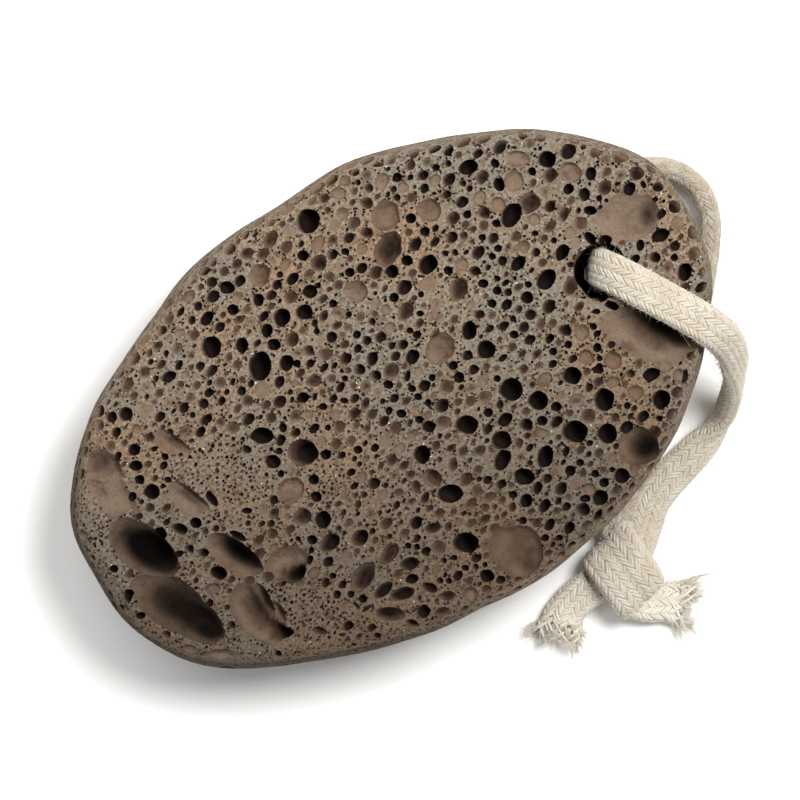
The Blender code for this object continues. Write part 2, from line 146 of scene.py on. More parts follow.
# Smaller hollows by their depth, as a share of their width: column, row, length, width and any turn.
PORES = {
    1.3: (
        (495, 164, 11, 9, -45), (532, 172, 9, 9), (591, 174, 15, 11, 80), (568, 190, 12, 11, 60),
        (599, 199, 7, 7), (496, 224, 9, 9), (482, 238, 8, 8), (498, 249, 9, 8), (535, 234, 8, 6),
        (554, 241, 7, 7), (483, 284, 12, 10), (497, 291, 10, 10), (497, 279, 7, 7), (527, 298, 14, 13),
        (528, 285, 8, 8), (492, 304, 10, 10), (467, 215, 10, 9), (492, 257, 8, 8), (333, 304, 9, 9),
        (318, 286, 7, 7), (394, 298, 11, 11), (421, 295, 7, 7), (297, 364, 9, 9), (323, 407, 10, 8),
        (388, 385, 11, 10), (413, 357, 17, 13, 60), (418, 397, 9, 8), (428, 403, 8, 8), (412, 389, 9, 8),
        (389, 411, 10, 7, 80), (401, 414, 11, 10), (419, 420, 9, 9), (429, 427, 14, 13), (432, 378, 8, 8),
        (453, 366, 11, 10), (459, 378, 12, 12), (345, 379, 7, 7), (344, 401, 9, 7), (314, 429, 13, 9, 50),
        (328, 428, 7, 7), (358, 450, 10, 9), (375, 448, 10, 8, 50), (283, 428, 12, 8, 90), (420, 314, 8, 7),
        (410, 331, 8, 7), (417, 335, 10, 9), (357, 335, 10, 8, 50), (317, 332, 7, 7), (349, 315, 7, 7),
        (640, 246, 13, 9, 90), (674, 258, 9, 8), (643, 185, 9, 6, -60), (655, 200, 7, 5), (627, 406, 8, 8),
        (693, 374, 18, 6, 80), (598, 370, 12, 9), (597, 348, 10, 10), (568, 345, 9, 9), (593, 327, 8, 8),
        (596, 312, 10, 6), (114, 569, 10, 9), (238, 536, 22, 8, -30), (212, 499, 18, 9, -50),
        (247, 511, 12, 7), (168, 480, 8, 7), (165, 457, 8, 8), (323, 520, 19, 17, 90), (316, 497, 12, 12),
        (281, 474, 8, 8), (312, 540, 11, 11), (298, 539, 6, 6), (140, 616, 12, 8, 20), (278, 654, 8, 7),
        (505, 420, 17, 13, 50), (542, 421, 12, 11), (556, 407, 12, 11), (570, 471, 13, 11, 90),
        (580, 463, 9, 8), (595, 474, 9, 9), (604, 483, 11, 10), (585, 499, 12, 8), (513, 495, 10, 8),
        (523, 521, 9, 8), (545, 538, 9, 8), (559, 538, 8, 7), (659, 419, 7, 7), (553, 352, 9, 9),
        (514, 335, 10, 9), (497, 379, 8, 8), (488, 413, 11, 10, 90), (599, 368, 11, 8, 90),
        (684, 377, 16, 7, 80), (612, 470, 7, 6), (566, 452, 12, 7, 80), (425, 232, 11, 10),
        (345, 252, 9, 8), (448, 271, 10, 10), (436, 168, 9, 8), (397, 178, 12, 10, 30), (363, 599, 10, 9),
        (412, 579, 15, 10, 12), (426, 551, 11, 8, 25), (417, 547, 7, 7), (408, 546, 7, 7), (465, 568, 8, 7),
        (485, 565, 6, 6), (454, 558, 8, 6), (449, 581, 7, 7), (377, 636, 8, 7), (333, 576, 8, 7)),
    1.0: (
        (415, 245, 16, 12, 60), (333, 255, 13, 10, 60), (452, 238, 14, 11, 60), (445, 254, 8, 7),
        (455, 253, 8, 8), (488, 268, 8, 6, 60), (508, 293, 10, 9), (549, 307, 18, 13, 60),
        (449, 180, 15, 12, 60), (463, 184, 8, 7), (448, 164, 8, 8), (423, 176, 13, 11, 50),
        (378, 165, 15, 6, 10), (358, 183, 7, 7), (447, 195, 11, 9, 30), (397, 198, 9, 8),
        (360, 538, 19, 16, 60), (384, 590, 26, 12, 42), (403, 594, 25, 13, 18), (430, 588, 17, 10, -20),
        (413, 624, 15, 9, -25), (410, 564, 21, 14, 18), (476, 567, 7, 7), (440, 581, 8, 7),
        (444, 561, 7, 7), (368, 608, 16, 4, 35), (357, 606, 12, 4, -45), (526, 425, 15, 14),
        (583, 510, 15, 14), (561, 489, 16, 12, 60), (550, 207, 14, 11, 65), (478, 253, 16, 12, 60),
        (536, 253, 11, 9, 60), (475, 272, 13, 11), (372, 322, 9, 8, 50), (367, 341, 12, 10, 45),
        (346, 359, 14, 12, 50), (360, 370, 13, 12, 50), (376, 376, 12, 12), (403, 345, 13, 11, 50),
        (442, 406, 17, 14, 60), (296, 433, 12, 9, 30), (655, 258, 13, 12), (565, 331, 14, 12),
        (180, 529, 18, 12, -15), (190, 549, 10, 9), (204, 553, 12, 10), (247, 450, 12, 9, -20),
        (330, 543, 24, 16, 45)),
    0.75: (
        (376, 273, 17, 13, 55), (367, 233, 14, 12), (453, 219, 17, 13, 60), (464, 236, 10, 9),
        (459, 290, 26, 17, 72), (411, 166, 13, 10, 50), (369, 189, 11, 10), (367, 204, 14, 12),
        (390, 554, 27, 14, 55), (364, 577, 34, 20, 58), (449, 596, 18, 10, 5), (392, 614, 31, 14, -4),
        (443, 612, 18, 10, 15), (550, 176, 18, 14, 60), (571, 286, 24, 14, 65), (564, 215, 18, 10, 75),
        (482, 178, 18, 12, 65), (484, 213, 14, 14), (435, 337, 24, 8, 70), (406, 312, 22, 14, 60),
        (385, 289, 11, 6, 60), (293, 340, 18, 14, 60), (309, 351, 12, 12), (631, 374, 10, 10),
        (150, 438, 12, 10), (303, 517, 20, 16, 30), (232, 625, 9, 9), (167, 635, 10, 9),
        (321, 631, 16, 8, -15)),
    0.4: (
        (462, 265, 15, 14), (382, 182, 20, 15, 75), (404, 188, 12, 12), (435, 181, 15, 12, 70),
        (344, 214, 14, 13), (339, 194, 16, 13), (472, 595, 17, 17), (515, 181, 26, 20, 90),
        (519, 159, 26, 16), (480, 198, 18, 14, 60), (499, 205, 16, 16), (535, 220, 14, 14),
        (571, 173, 24, 22), (525, 247, 14, 14), (386, 310, 12, 12), (613, 360, 20, 20), (587, 358, 16, 16),
        (583, 333, 18, 18), (680, 376, 16, 16), (637, 393, 20, 16), (545, 380, 18, 14, 60),
        (542, 433, 18, 10), (590, 490, 14, 14), (214, 589, 16, 12, 20), (137, 429, 10, 10),
        (292, 490, 28, 26, 60), (192, 652, 24, 14, -20), (224, 656, 30, 14)),
}

# Dark places inside the wide hollows, partly soot and partly painted shade, with a painted shadow of the cord
# in one: column, row, length, width, turn and how black.
SOOT_AND_SHADE = (
    (648, 213, 26, 20, 80, 0.75), (664, 321, 104, 52, -28, 0.95), (682, 334, 40, 30, -28, 0.8),
    (146, 549, 84, 44, -37, 1.2), (183, 610, 108, 60, -32, 0.9), (206, 631, 52, 28, -30, 0.95),
    (258, 603, 38, 12, -62, 0.7), (275, 624, 32, 14, -48, 0.75), (292, 640, 50, 20, -33, 0.9),
    (238, 553, 62, 22, -36, 0.97), (295, 575, 32, 24, 40, 0.9), (647, 449, 40, 42, 0, 1.0),
    (519, 552, 56, 52, 30, 0.5), (530, 566, 28, 24, 30, 0.7), (103, 464, 32, 24, 0, 0.6),
    (190, 498, 46, 8, -38, 0.7), (174, 442, 40, 7, -35, 0.7),
)
SOOT_AND_SHADE_EDGE = 1.25                # where the soot and painted shade end, from the middle of its ellipse

TIGHT_HOLLOW = 0.95             # a hollow this wide for its depth, or narrower, is black below its rim
OPEN_HOLLOW = 1.5               # one this wide or wider stays brown to its floor
TIGHT_LIFT, BROWN_LIFT = -0.18, (0.05, 0.3)     # lifts: the black ones', and the others' least and more
WIDE_LIFT = (0.35, 0.24, 0.86)  # an open one's: at least, more for each width a depth, at most
# How fast a hollow's skin is painted darker downwards, for a radius of 1 mm: by openness, up to each limit.
# This is partly the glass's own darker tone and partly painted shade.
HOLLOW_SHADE_RATES = ((TIGHT_HOLLOW, 2.2), (1.6, 1.35), (math.inf, 0.9))
LONG_HOLLOW, SHORT_HOLLOW = 30, 14      # in grid steps: finer cutters for longer hollows

# Bubbles scattered on the face: how many, their lengths, the stone left between, and their cutter.
FACE_BUBBLES = (
    (480, (1.5, 2.6), 0.05, "vesicle"), (640, (1.0, 1.6), 0.06, "pore"),
    (1000, (0.6, 1.0), 0.08, "small pore"), (460, (0.36, 0.62), 0.05, "pinhole"),
)
BIG, FINE = 1.0, 0.7            # bubbles that can be longer than this are big, and up to this are fine
# How the saw cut a bubble: up to which share of them, depth in radii, lift, and how fast its skin is painted
# darker for 1 mm down, as painted shade.
FACE_CUTS = (
    (0.32, (1.1, 1.9), (-0.2, 0.1), 2.1),       # near its middle: deep and black
    (0.76, (1.0, 1.4), (0.2, 0.4), 1.95),       # above its middle: a brown groove
    (0.88, (1.6, 2.6), (0.66, 0.84), 0.9),      # only its floor is left: a pale dish
    (1.0, (1.6, 2.6), (0.66, 0.84), 2.7),       # the same, with its floor painted darker, as painted shade
)
FOAM_SLIMNESS = (0.58, 0.92)    # width by length
FOAM_STRAY = 0.22               # how far each turns from the foam's own way
COARSE_PATCH = 17.0             # how far apart patches of coarser foam are
COARSE_WAY = (0.012, 0.9)       # it is coarser towards the drilled end and the far side, by this much
CHANCE, CHANCE_BIG, CHANCE_SMALL = 0.25, 1.0, 0.55      # of a bubble, and more of it in coarse foam
SIZE, SIZE_COARSE = 0.85, 0.3   # its size in fine foam, and what coarse foam adds
ROOM = 0.86                     # the share of its radius that keeps clear, as it is slimmer than long
TRIES = 60                      # for each bubble that is wanted
FACE_REACH, FACE_LOWEST = 0.992, 20.0   # how far out on the rounded edge they go, and how far down
BUBBLE_TURN = math.radians(56.0)    # the foam was drawn out this way, from the grid's rows
BUBBLE_LEAN = Vector((-0.33, 0.21, 0.0))    # and its bubbles lean, so that their left walls show
BODY_BUBBLES = ((60, (3.2, 5.6), 0.4), (220, (1.7, 3.0), 0.25), (340, (0.8, 1.6), 0.2))
BODY_CUTS = (                   # depth in radii, lift and how fast the skin is painted darker downwards, as painted shade: the deep ones' and the shallow ones'
    (1.3, (-0.2, 0.15), 2.0), (0.9, (0.3, 0.6), 0.3),
)
BODY_DEEP = 0.6                 # share of them that are deep
BODY_SLIMNESS = (0.62, 0.95)
BODY_DEEPEST = 2.6
BODY_CORE = ((-42, 42), (-22, 22), (8, 20))     # a box inside the stone, from which they are looked for
BODY_CLIMB = (-1.0, 0.5)        # from straight down to this far up
BODY_NAMES = ((1.5, "vesicle"), (0.85, "pore"), (0.0, "small pore"))    # their cutters, by radius
FACE_CLEAR = 1.2                # how far they keep below the sawn face
REST_CLEAR = (0.4, 1.0)         # lower than this, a bubble's radius is this at most
# Where the face has fine bubbles only: column, row, length, width and turn.
FINE_FOAM = ((222, 478, 116, 92, 20), (302, 612, 96, 52, -15), (101, 530, 96, 34, -66),
             (420, 628, 110, 22, 12), (330, 478, 40, 40, 0))
# Cutters by name: sides, bands, unevenness, and waves of it round one. The longer ones have more faces.
CUTTERS = {
    "hollow": (26, 18, 0.13, 2.4), "vesicle": (14, 5, 0.2, 1.3), "pore": (9, 4, 0.2, 1.3),
    "small pore": (6, 3, 0.34, 1.3), "pinhole": (4, 3, 0.34, 1.3),
}
STONE_SEED = 11


def smooth_between(before, start, end, after, part):
    """A value or a point on the Catmull-Rom curve from start to end, at a part from 0 to 1."""
    slope = end - before
    bend = 2 * before - 5 * start + 4 * end - after
    turn = 3 * (start - end) + after - before
    return start + 0.5 * part * (slope + part * (bend + part * turn))


def reach_at(angle):
    """Reach of the widest outline at an angle."""
    count = len(OUTLINE_REACH)
    place = (angle / math.tau * count) % count
    start = int(place)
    four = [OUTLINE_REACH[(start + step) % count] for step in (-1, 0, 1, 2)]
    return smooth_between(*four, place - start)


def widest_outline():
    """The widest outline, centred and brought to the stone's length and width."""
    ring = []
    for spoke in range(SPOKES):
        angle = math.tau * spoke / SPOKES
        ring.append(Vector((math.cos(angle), math.sin(angle))) * reach_at(angle))
    low = Vector((min(p.x for p in ring), min(p.y for p in ring)))
    high = Vector((max(p.x for p in ring), max(p.y for p in ring)))
    middle = (low + high) / 2
    along, across = STONE_LENGTH / (high.x - low.x), STONE_WIDTH / (high.y - low.y)
    return [Vector(((p.x - middle.x) * along, (p.y - middle.y) * across)) for p in ring]


def dented(point, share=1.0):
    """A point of the sides moved inwards by the dents that tumbling left."""
    depth, apart = TUMBLING
    dent = depth * share * noise.noise(point / apart)
    level = Vector((point.x, point.y, 0.0))
    return point - level.normalized() * dent


def edge_ring(outline, inset, height):
    """The outline moved inwards by one distance all round, at one height."""
    ring = []
    for index, point in enumerate(outline):
        along = outline[(index + 1) % len(outline)] - outline[index - 1]
        inward = Vector((-along.y, along.x)).normalized()
        ring.append(dented(Vector((*(point + inward * inset), height))))
    return ring


def belly_ring(outline, part):
    """A ring of the underside, from the rest facet (part 0) to the widest outline (part 1)."""
    height = WIDEST_HEIGHT * (1 - (1 - part ** BELLY_POWER) ** (1 / BELLY_POWER))
    ring = []
    for point in outline:
        facet = Vector((point.x * REST_LENGTH / STONE_LENGTH + REST_SHIFT,
                        point.y * REST_WIDTH / STONE_WIDTH))
        ring.append(dented(Vector((*facet.lerp(point, part), height)), part))
    return ring


def stack_rings(rings):
    """A closed solid: a circle, one extrusion of its edges for each further ring, and both ends filled."""
    shape = bmesh.new()
    bmesh.ops.create_circle(shape, segments=len(rings[0]), radius=1.0)
    spoke_of = shape.verts.layers.int.new("spoke")
    shape.verts.ensure_lookup_table()
    for spoke, vert in enumerate(shape.verts):
        vert[spoke_of] = spoke
        vert.co = rings[0][spoke]
    rim = shape.edges[:]
    for ring in rings[1:]:
        grown = bmesh.ops.extrude_edge_only(shape, edges=rim)["geom"]
        verts = {item for item in grown if isinstance(item, bmesh.types.BMVert)}
        for vert in verts:
            vert.co = ring[vert[spoke_of]]
        rim = [item for item in grown if isinstance(item, bmesh.types.BMEdge)
               and all(vert in verts for vert in item.verts)]
    bmesh.ops.holes_fill(shape, edges=shape.edges[:], sides=0)
    bmesh.ops.recalc_face_normals(shape, faces=shape.faces[:])
    return shape


def linked(name, data):
    """An object with that data, put into the scene."""
    thing = bpy.data.objects.new(name, data)
    bpy.context.scene.collection.objects.link(thing)
    return thing


def object_of(shape, name):
    """Turn a bmesh drawn in millimetres into an object in metres."""
    bmesh.ops.scale(shape, vec=(MM, MM, MM), verts=shape.verts)
    mesh = bpy.data.meshes.new(name)
    shape.to_mesh(mesh)
    shape.free()
    return linked(name, mesh)


def smooth_faces(shape, fade):
    """Smooth a bmesh's faces, and mark them with how fast the stone is painted darker there going down, as
    painted shade.
    """
    layer = shape.faces.layers.float.new("fade")
    for face in shape.faces:
        face.smooth = True
        face[layer] = fade
    return shape


def clamped(value):
    """The value, kept from 0 to 1."""
    return min(1.0, max(0.0, value))


def hole_shape():
    """The drill's path, worn and chipped wider at its mouths."""
    rings = []
    chips, round_it, down_it = HOLE_CHIPS
    for height in HOLE_HEIGHTS:
        wear = HOLE_FLARE * max(0.0, 1 - (STONE_HEIGHT - height) / HOLE_WEAR[0])
        wear += HOLE_FLARE * max(0.0, 1 - (height - LOWER_MOUTH) / HOLE_WEAR[1])
        deep = clamped(1 - (height - HOLE_NARROWS[0]) / HOLE_NARROWS[1])
        middle = Vector(HOLE_PLACE) + Vector(HOLE_LEAN) * deep
        ring = []
        for side in range(HOLE_SIDES):
            angle = math.tau * side / HOLE_SIDES
            way = Vector((math.cos(angle), math.sin(angle), 0.0))
            chip = noise.noise(Vector((way.x * round_it, way.y * round_it, height * down_it)))
            reach = HOLE_RADIUS - HOLE_NARROWING * deep + wear * (1 + chip) + chips * chip
            ring.append(Vector((*middle, height)) + way * reach)
        rings.append(ring)
    return stack_rings(rings)


def bubble_cutter(sides, bands, uneven, waves, seed):
    """Corners and faces of one round bubble, a little uneven, made once and set into the stone many times."""
    shape = bmesh.new()
    bmesh.ops.create_uvsphere(shape, u_segments=sides, v_segments=bands, radius=1.0)
    for vert in shape.verts:
        vert.co *= 1 + uneven * noise.noise(vert.co * waves + Vector((seed * 7.3, 0.0, 0.0)))
    corners = np.array([vert.co for vert in shape.verts])
    faces = [[vert.index for vert in face.verts] for face in shape.faces]
    shape.free()
    return corners, faces


class Bubbles:
    """The gas bubbles that were opened, as sets of cutters. Those in one set keep clear of each other."""

    CELL = 3.0                  # of the lattice in which near ones are looked up
    WIDEST = 4.0
    APART = (1.12, 0.02)        # two of one set stand this far apart: by their radii, and more

    def __init__(self, sets):
        self.sets = [([], [], []) for _ in range(sets)]     # corners, faces and fades of each set
        self.near = {}
        self.total = [0] * sets

    def cell_of(self, place):
        return tuple(math.floor(value / self.CELL) for value in place)

    def around(self, place, radius):
        spread = int(radius // self.CELL) + 2
        x, y, z = self.cell_of(place)
        for dx in range(-spread, spread + 1):
            for dy in range(-spread, spread + 1):
                for dz in range(-1, 2):
                    yield from self.near.get((x + dx, y + dy, z + dz), ())

    def has_room(self, place, radius, wall):
        return all((place - other).length > radius + wide + wall
                   for other, wide, _ in self.around(place, radius))

    def free_set(self, place, radius):
        times, more = self.APART
        busy = {number for other, wide, number in self.around(place, radius + self.WIDEST)
                if (place - other).length < times * (radius + wide) + more}
        return next((number for number in range(len(self.sets)) if number not in busy), None)

    def add(self, cutter, place, facing, turn, radii, lift, fade):
        """Set one bubble in at a place: lift is how far its middle is above the skin, in its own depths."""
        number = self.free_set(place, max(radii[:2]))
        if number is None:
            return False
        swell = 1 / math.sqrt(1 - lift * lift)
        facing = (facing + BUBBLE_LEAN * (1 - abs(lift))).normalized()
        matrix = (Matrix.Translation(place + facing * lift * radii[2])
                  @ UP.rotation_difference(facing).to_matrix().to_4x4()
                  @ Matrix.Rotation(turn, 4, "Z")
                  @ Matrix.Diagonal((radii[0] * swell, radii[1] * swell, radii[2], 1.0)))
        corners, faces = cutter
        kept_corners, kept_faces, kept_fades = self.sets[number]
        kept_corners.append(corners @ np.array(matrix.to_3x3()).T + np.array(matrix.translation))
        kept_faces.extend([[self.total[number] + corner for corner in face] for face in faces])
        kept_fades.extend([fade] * len(faces))
        self.total[number] += len(corners)
        self.near.setdefault(self.cell_of(place), []).append((place, max(radii[:2]), number))
        return True

    def cutters(self):
        for corners, faces, fades in self.sets:
            if not faces:
                continue
            mesh = bpy.data.meshes.new("bubbles")
            mesh.from_pydata((np.concatenate(corners) * MM).tolist(), [], faces)
            layer = mesh.attributes.new("fade", "FLOAT", "FACE")
            layer.data.foreach_set("value", np.array(fades, np.float32))
            mesh.polygons.foreach_set("use_smooth", [True] * len(faces))
            yield linked("bubbles", mesh)


def on_grid(column, row):
    """Where a layout grid square lies, level with the sawn face."""
    right, down = column - GRID_MIDDLE[0], row - GRID_MIDDLE[1]
    x = (right * math.cos(GRID_TURN) - down * math.sin(GRID_TURN)) * GRID_STEP
    y = -(right * math.sin(GRID_TURN) + down * math.cos(GRID_TURN)) * GRID_STEP
    return Vector((x, y, STONE_HEIGHT))


def away_from(place, column, row, length, width, turn):
    """How far a place is from the middle of an ellipse on the grid: 1 at its edge."""
    away = place - on_grid(column, row)
    away.rotate(Matrix.Rotation(GRID_TURN - math.radians(turn), 3, "Z"))
    return math.hypot(away.x / length, away.y / width) * 2 / GRID_STEP


def dip_depth(place, dips):
    """How deep a place of the face lies in a wide hollow. It is below 0 outside."""
    total = sum(math.exp(DIP_BLEND * dip[5] * (1 - away_from(place, *dip[:5]) ** 2)) for dip in dips)
    depth = math.log(max(total, 1e-6)) / DIP_BLEND
    level = Vector((place.x, place.y, 0.0))
    return depth + sum(share * noise.noise(level / apart) for apart, share in DIP_RAGGED)


def wide_hollow(dips):
    """A cutter with a floor of dips that run together, leaning as the bubbles do."""
    side = max(length for _, _, length, *_ in dips) * DIP_SIDE * GRID_STEP
    middle = on_grid(*dips[0][:2])
    cells = round(2 * side / DIP_CELL)
    shape = bmesh.new()
    bmesh.ops.create_grid(shape, x_segments=cells, y_segments=cells, size=side)
    grown = bmesh.ops.extrude_face_region(shape, geom=shape.faces[:])["geom"]
    upper = {item for item in grown if isinstance(item, bmesh.types.BMVert)}
    for vert in shape.verts:
        place = middle + vert.co
        depth = max(-DIP_ABOVE, dip_depth(place, dips))
        lean = BUBBLE_LEAN * max(0.0, depth)
        vert.co = place + UP * DIP_TOP if vert in upper else place - lean - UP * depth
    bmesh.ops.recalc_face_normals(shape, faces=shape.faces[:])
    return smooth_faces(shape, DIP_SHADE_RATE)


def clear_of_hole(place, radius):
    """Whether a bubble leaves stone round the drilled hole."""
    return (Vector(place[:2]) - Vector(HOLE_PLACE)).length > HOLE_RADIUS + HOLE_FLARE + radius * 0.7


def listed_hollows(bubbles, draw, cutters):
    """The hollows of the face that have their own places."""
    pores = [(*pore, *(0,) * (5 - len(pore)), share * pore[3] * GRID_STEP)
             for share, kind in PORES.items() for pore in kind]
    for column, row, length, width, turn, depth in (*FACE_HOLLOWS, *pores):
        openness = width * GRID_STEP / depth
        black = clamped((OPEN_HOLLOW - openness) / (OPEN_HOLLOW - TIGHT_HOLLOW))
        shade_rate = next(speed for most, speed in HOLLOW_SHADE_RATES if openness < most)
        lift = BROWN_LIFT[0] + BROWN_LIFT[1] * (1 - black) if black < 1 else TIGHT_LIFT
        if openness > OPEN_HOLLOW:
            least, more, most = WIDE_LIFT
            lift = min(most, least + more * (openness - OPEN_HOLLOW))
        name = "hollow" if length >= LONG_HOLLOW else "vesicle" if length >= SHORT_HOLLOW else "pore"
        radii = (length * GRID_STEP / 2, width * GRID_STEP / 2, depth / (1 - lift))
        bubbles.add(draw.choice(cutters[name]), on_grid(column, row), UP,
                    math.radians(turn) - GRID_TURN, radii, lift, shade_rate / (width * GRID_STEP * 0.5))


def face_bubbles(bubbles, skin, draw, cutters):
    """Smaller and smaller bubbles between the listed hollows, with fewer of the big ones in fine foam."""
    for count, (small, large), wall, name in FACE_BUBBLES:
        made, tries = 0, 0
        while made < count and tries < count * TRIES:
            tries += 1
            angle, share = draw.uniform(0, math.tau), math.sqrt(draw.random()) * FACE_REACH
            level = Vector((math.cos(angle), math.sin(angle), 0)) * reach_at(angle) * share
            place, facing = skin.ray_cast(level + UP * 60.0, -UP)[:2]
            if place is None or place.z < FACE_LOWEST:
                continue
            if place.z > STONE_HEIGHT - 0.05:
                facing = UP
            coarse = 0.5 + 0.5 * noise.noise(Vector((level.x, level.y, 0.0)) / COARSE_PATCH)
            coarse += COARSE_WAY[0] * (level.x + COARSE_WAY[1] * level.y)
            chance = CHANCE + coarse * (CHANCE_BIG if large > BIG else CHANCE_SMALL)
            if any(away_from(level, *spot) < 1 for spot in FINE_FOAM):
                chance = 0.0 if large > BIG else 1.0
            if large > FINE and draw.random() > chance:
                continue
            length = draw.uniform(small, large) * (SIZE + SIZE_COARSE * clamped(coarse))
            radius = length / 2
            if not (bubbles.has_room(place, radius * ROOM, wall) and clear_of_hole(place, radius)):
                continue
            if max(dip_depth(place, dips) for dips in WIDE_HOLLOWS) > 0.1:
                continue
            slim = draw.uniform(*FOAM_SLIMNESS)
            turn = BUBBLE_TURN + draw.gauss(0, FOAM_STRAY) - GRID_TURN
            kind = draw.random() if large > FINE else draw.random() * FACE_CUTS[0][0]
            depth, lift, shade_rate = next(cut[1:] for cut in FACE_CUTS if kind < cut[0])
            depth, lift = draw.uniform(*depth), draw.uniform(*lift)
            made += bubbles.add(draw.choice(cutters[name]), place, facing, turn,
                                (radius, radius * slim, radius * depth), lift, shade_rate / radius)


def body_bubbles(bubbles, skin, draw, cutters):
    """Bubbles over the sides and the underside, where tumbling opened them."""
    for count, (small, large), wall in BODY_BUBBLES:
        made = 0
        while made < count:
            inside = Vector([draw.uniform(*span) for span in BODY_CORE])
            angle, climb = draw.uniform(0, math.tau), draw.uniform(*BODY_CLIMB)
            level = math.sqrt(1 - climb * climb)
            outward = Vector((level * math.cos(angle), level * math.sin(angle), climb))
            place, facing = skin.ray_cast(inside + outward * 200.0, -outward)[:2]
            radius = draw.uniform(small, large) / 2
            if place is None or place.z > STONE_HEIGHT - FACE_CLEAR - radius:
                continue
            if place.z < REST_CLEAR[0] and radius > REST_CLEAR[1]:
                continue
            if not (clear_of_hole(place, radius) and bubbles.has_room(place, radius, wall)):
                continue
            depth, lift, shade_rate = BODY_CUTS[0 if draw.random() < BODY_DEEP else 1]
            lift = draw.uniform(*lift)
            radii = (radius, radius * draw.uniform(*BODY_SLIMNESS), min(radius * depth, BODY_DEEPEST))
            name = next(name for least, name in BODY_NAMES if radius > least)
            made += bubbles.add(draw.choice(cutters[name]), place, facing, draw.uniform(0, math.tau),
                                radii, lift, shade_rate / radius)


def soot_and_shade_at(place):
    """How much soot and painted shade a place has: 0 where it has none."""
    return max(share * clamped(SOOT_AND_SHADE_EDGE - away_from(place, *spot)) for *spot, share in SOOT_AND_SHADE)


def pumice_mesh():
    """The stone's closed skin, opened by the drill and by every bubble."""
    outline = widest_outline()
    rings = [belly_ring(outline, part) for part in (0.0, *BELLY_STEPS, 1.0)]
    shape = stack_rings(rings + [edge_ring(outline, inset, height) for inset, height in FACE_EDGE])
    skin = BVHTree.FromBMesh(shape)
    stone = object_of(smooth_faces(shape, 0.0), "sawn_foam_stone")

    opened_by = [object_of(smooth_faces(hole_shape(), HOLE_SHADE_RATE), "drill_path")]
    opened_by += [object_of(wide_hollow(dips), "wide_hollow") for dips in WIDE_HOLLOWS]
    draw = random.Random(STONE_SEED)
    cutters = {name: [bubble_cutter(*form, seed) for seed in range(5)] for name, form in CUTTERS.items()}
    bubbles = Bubbles(sets=12)
    listed_hollows(bubbles, draw, cutters)
    face_bubbles(bubbles, skin, draw, cutters)
    body_bubbles(bubbles, skin, draw, cutters)
    opened_by += list(bubbles.cutters())

    for cutter in opened_by:
        opened = stone.modifiers.new("opened", "BOOLEAN")
        opened.operation = "DIFFERENCE"
        opened.solver = "MANIFOLD"
        opened.object = cutter
    done = bpy.data.meshes.new_from_object(stone.evaluated_get(bpy.context.evaluated_depsgraph_get()))
    for cutter in opened_by:
        bpy.data.objects.remove(cutter)
    stone.modifiers.clear()
    stone.data = done
    done.name = "sawn_foam_stone"

    places = [vert.co / MM for vert in done.vertices]
    for name, values in (("depth", [skin.find_nearest(place)[3] for place in places]),
                         ("soot_and_shade", [soot_and_shade_at(place) for place in places])):
        done.attributes.new(name, "FLOAT", "POINT").data.foreach_set("value", values)
    done.set_sharp_from_angle(angle=math.radians(38))
    return stone


stone = pumice_mesh()


def paint(code):
    """An sRGB hex colour as the linear colour that a shader takes."""
    channels = [int(code[start:start + 2], 16) / 255 for start in (0, 2, 4)]
    linear = [c / 12.92 if c <= 0.04045 else ((c + 0.055) / 1.055) ** 2.4 for c in channels]
    return (*linear, 1.0)


def node(tree, kind, settings=None, inputs=None):
    """Add one shader node. Each of its inputs is given a value, or the socket that feeds it."""
    made = tree.nodes.new(kind)
    for name, value in (settings or {}).items():
        setattr(made, name, value)
    for name, value in (inputs or {}).items():
        if isinstance(value, bpy.types.NodeSocket):
            tree.links.new(value, made.inputs[name])
        else:
            made.inputs[name].default_value = value
    return made


def per_mm(size):
    """A texture's scale from the size of its pattern in millimetres."""
    return 1000.0 / size


def surface(name, values):
    """A new material, its nodes and its shader, with the values that are the same all over it."""
    material = bpy.data.materials.new(name)
    material.use_nodes = True
    shader = material.node_tree.nodes["Principled BSDF"]
    for socket, value in values.items():
        shader.inputs[socket].default_value = value
    return material, material.node_tree, shader


MIX, COLOURS = "ShaderNodeMix", {"data_type": "RGBA"}                       # inputs: share, 6 and 7
STEP, SMOOTH = "ShaderNodeMapRange", {"interpolation_type": "SMOOTHSTEP"}   # value, from, to, least, most
MATH, TIMES = "ShaderNodeMath", {"operation": "MULTIPLY"}
VECTOR, ALONG = "ShaderNodeVectorMath", {"operation": "DOT_PRODUCT"}


def toned(tree, colour, *tones):
    """Lay tones over a colour. Each goes by a value: from, to, its least and most share, and its paint."""
    for value, start, end, least, most, tone in tones:
        share = node(tree, STEP, SMOOTH, {0: value, 1: start, 2: end, 3: least, 4: most}).outputs[0]
        colour = node(tree, MIX, COLOURS, {0: share, 6: colour, 7: paint(tone)}).outputs[2]
    return colour


# In metres: the heights between which the sides give way to the sawn face, and those of the rim that is
# painted in shade.
FACE_STARTS, SHADED_RIM = (0.0245, 0.0259), (0.0259, 0.0235)
# Where painted shade darkens it: the way across it or along it, and from where to where that way.
SHADED_SIDE = ((0.36, 0.93, 0.0), 0.018, -0.034)
SHADED_END = ((0.85, 0.53, 0.0), -0.016, -0.036)


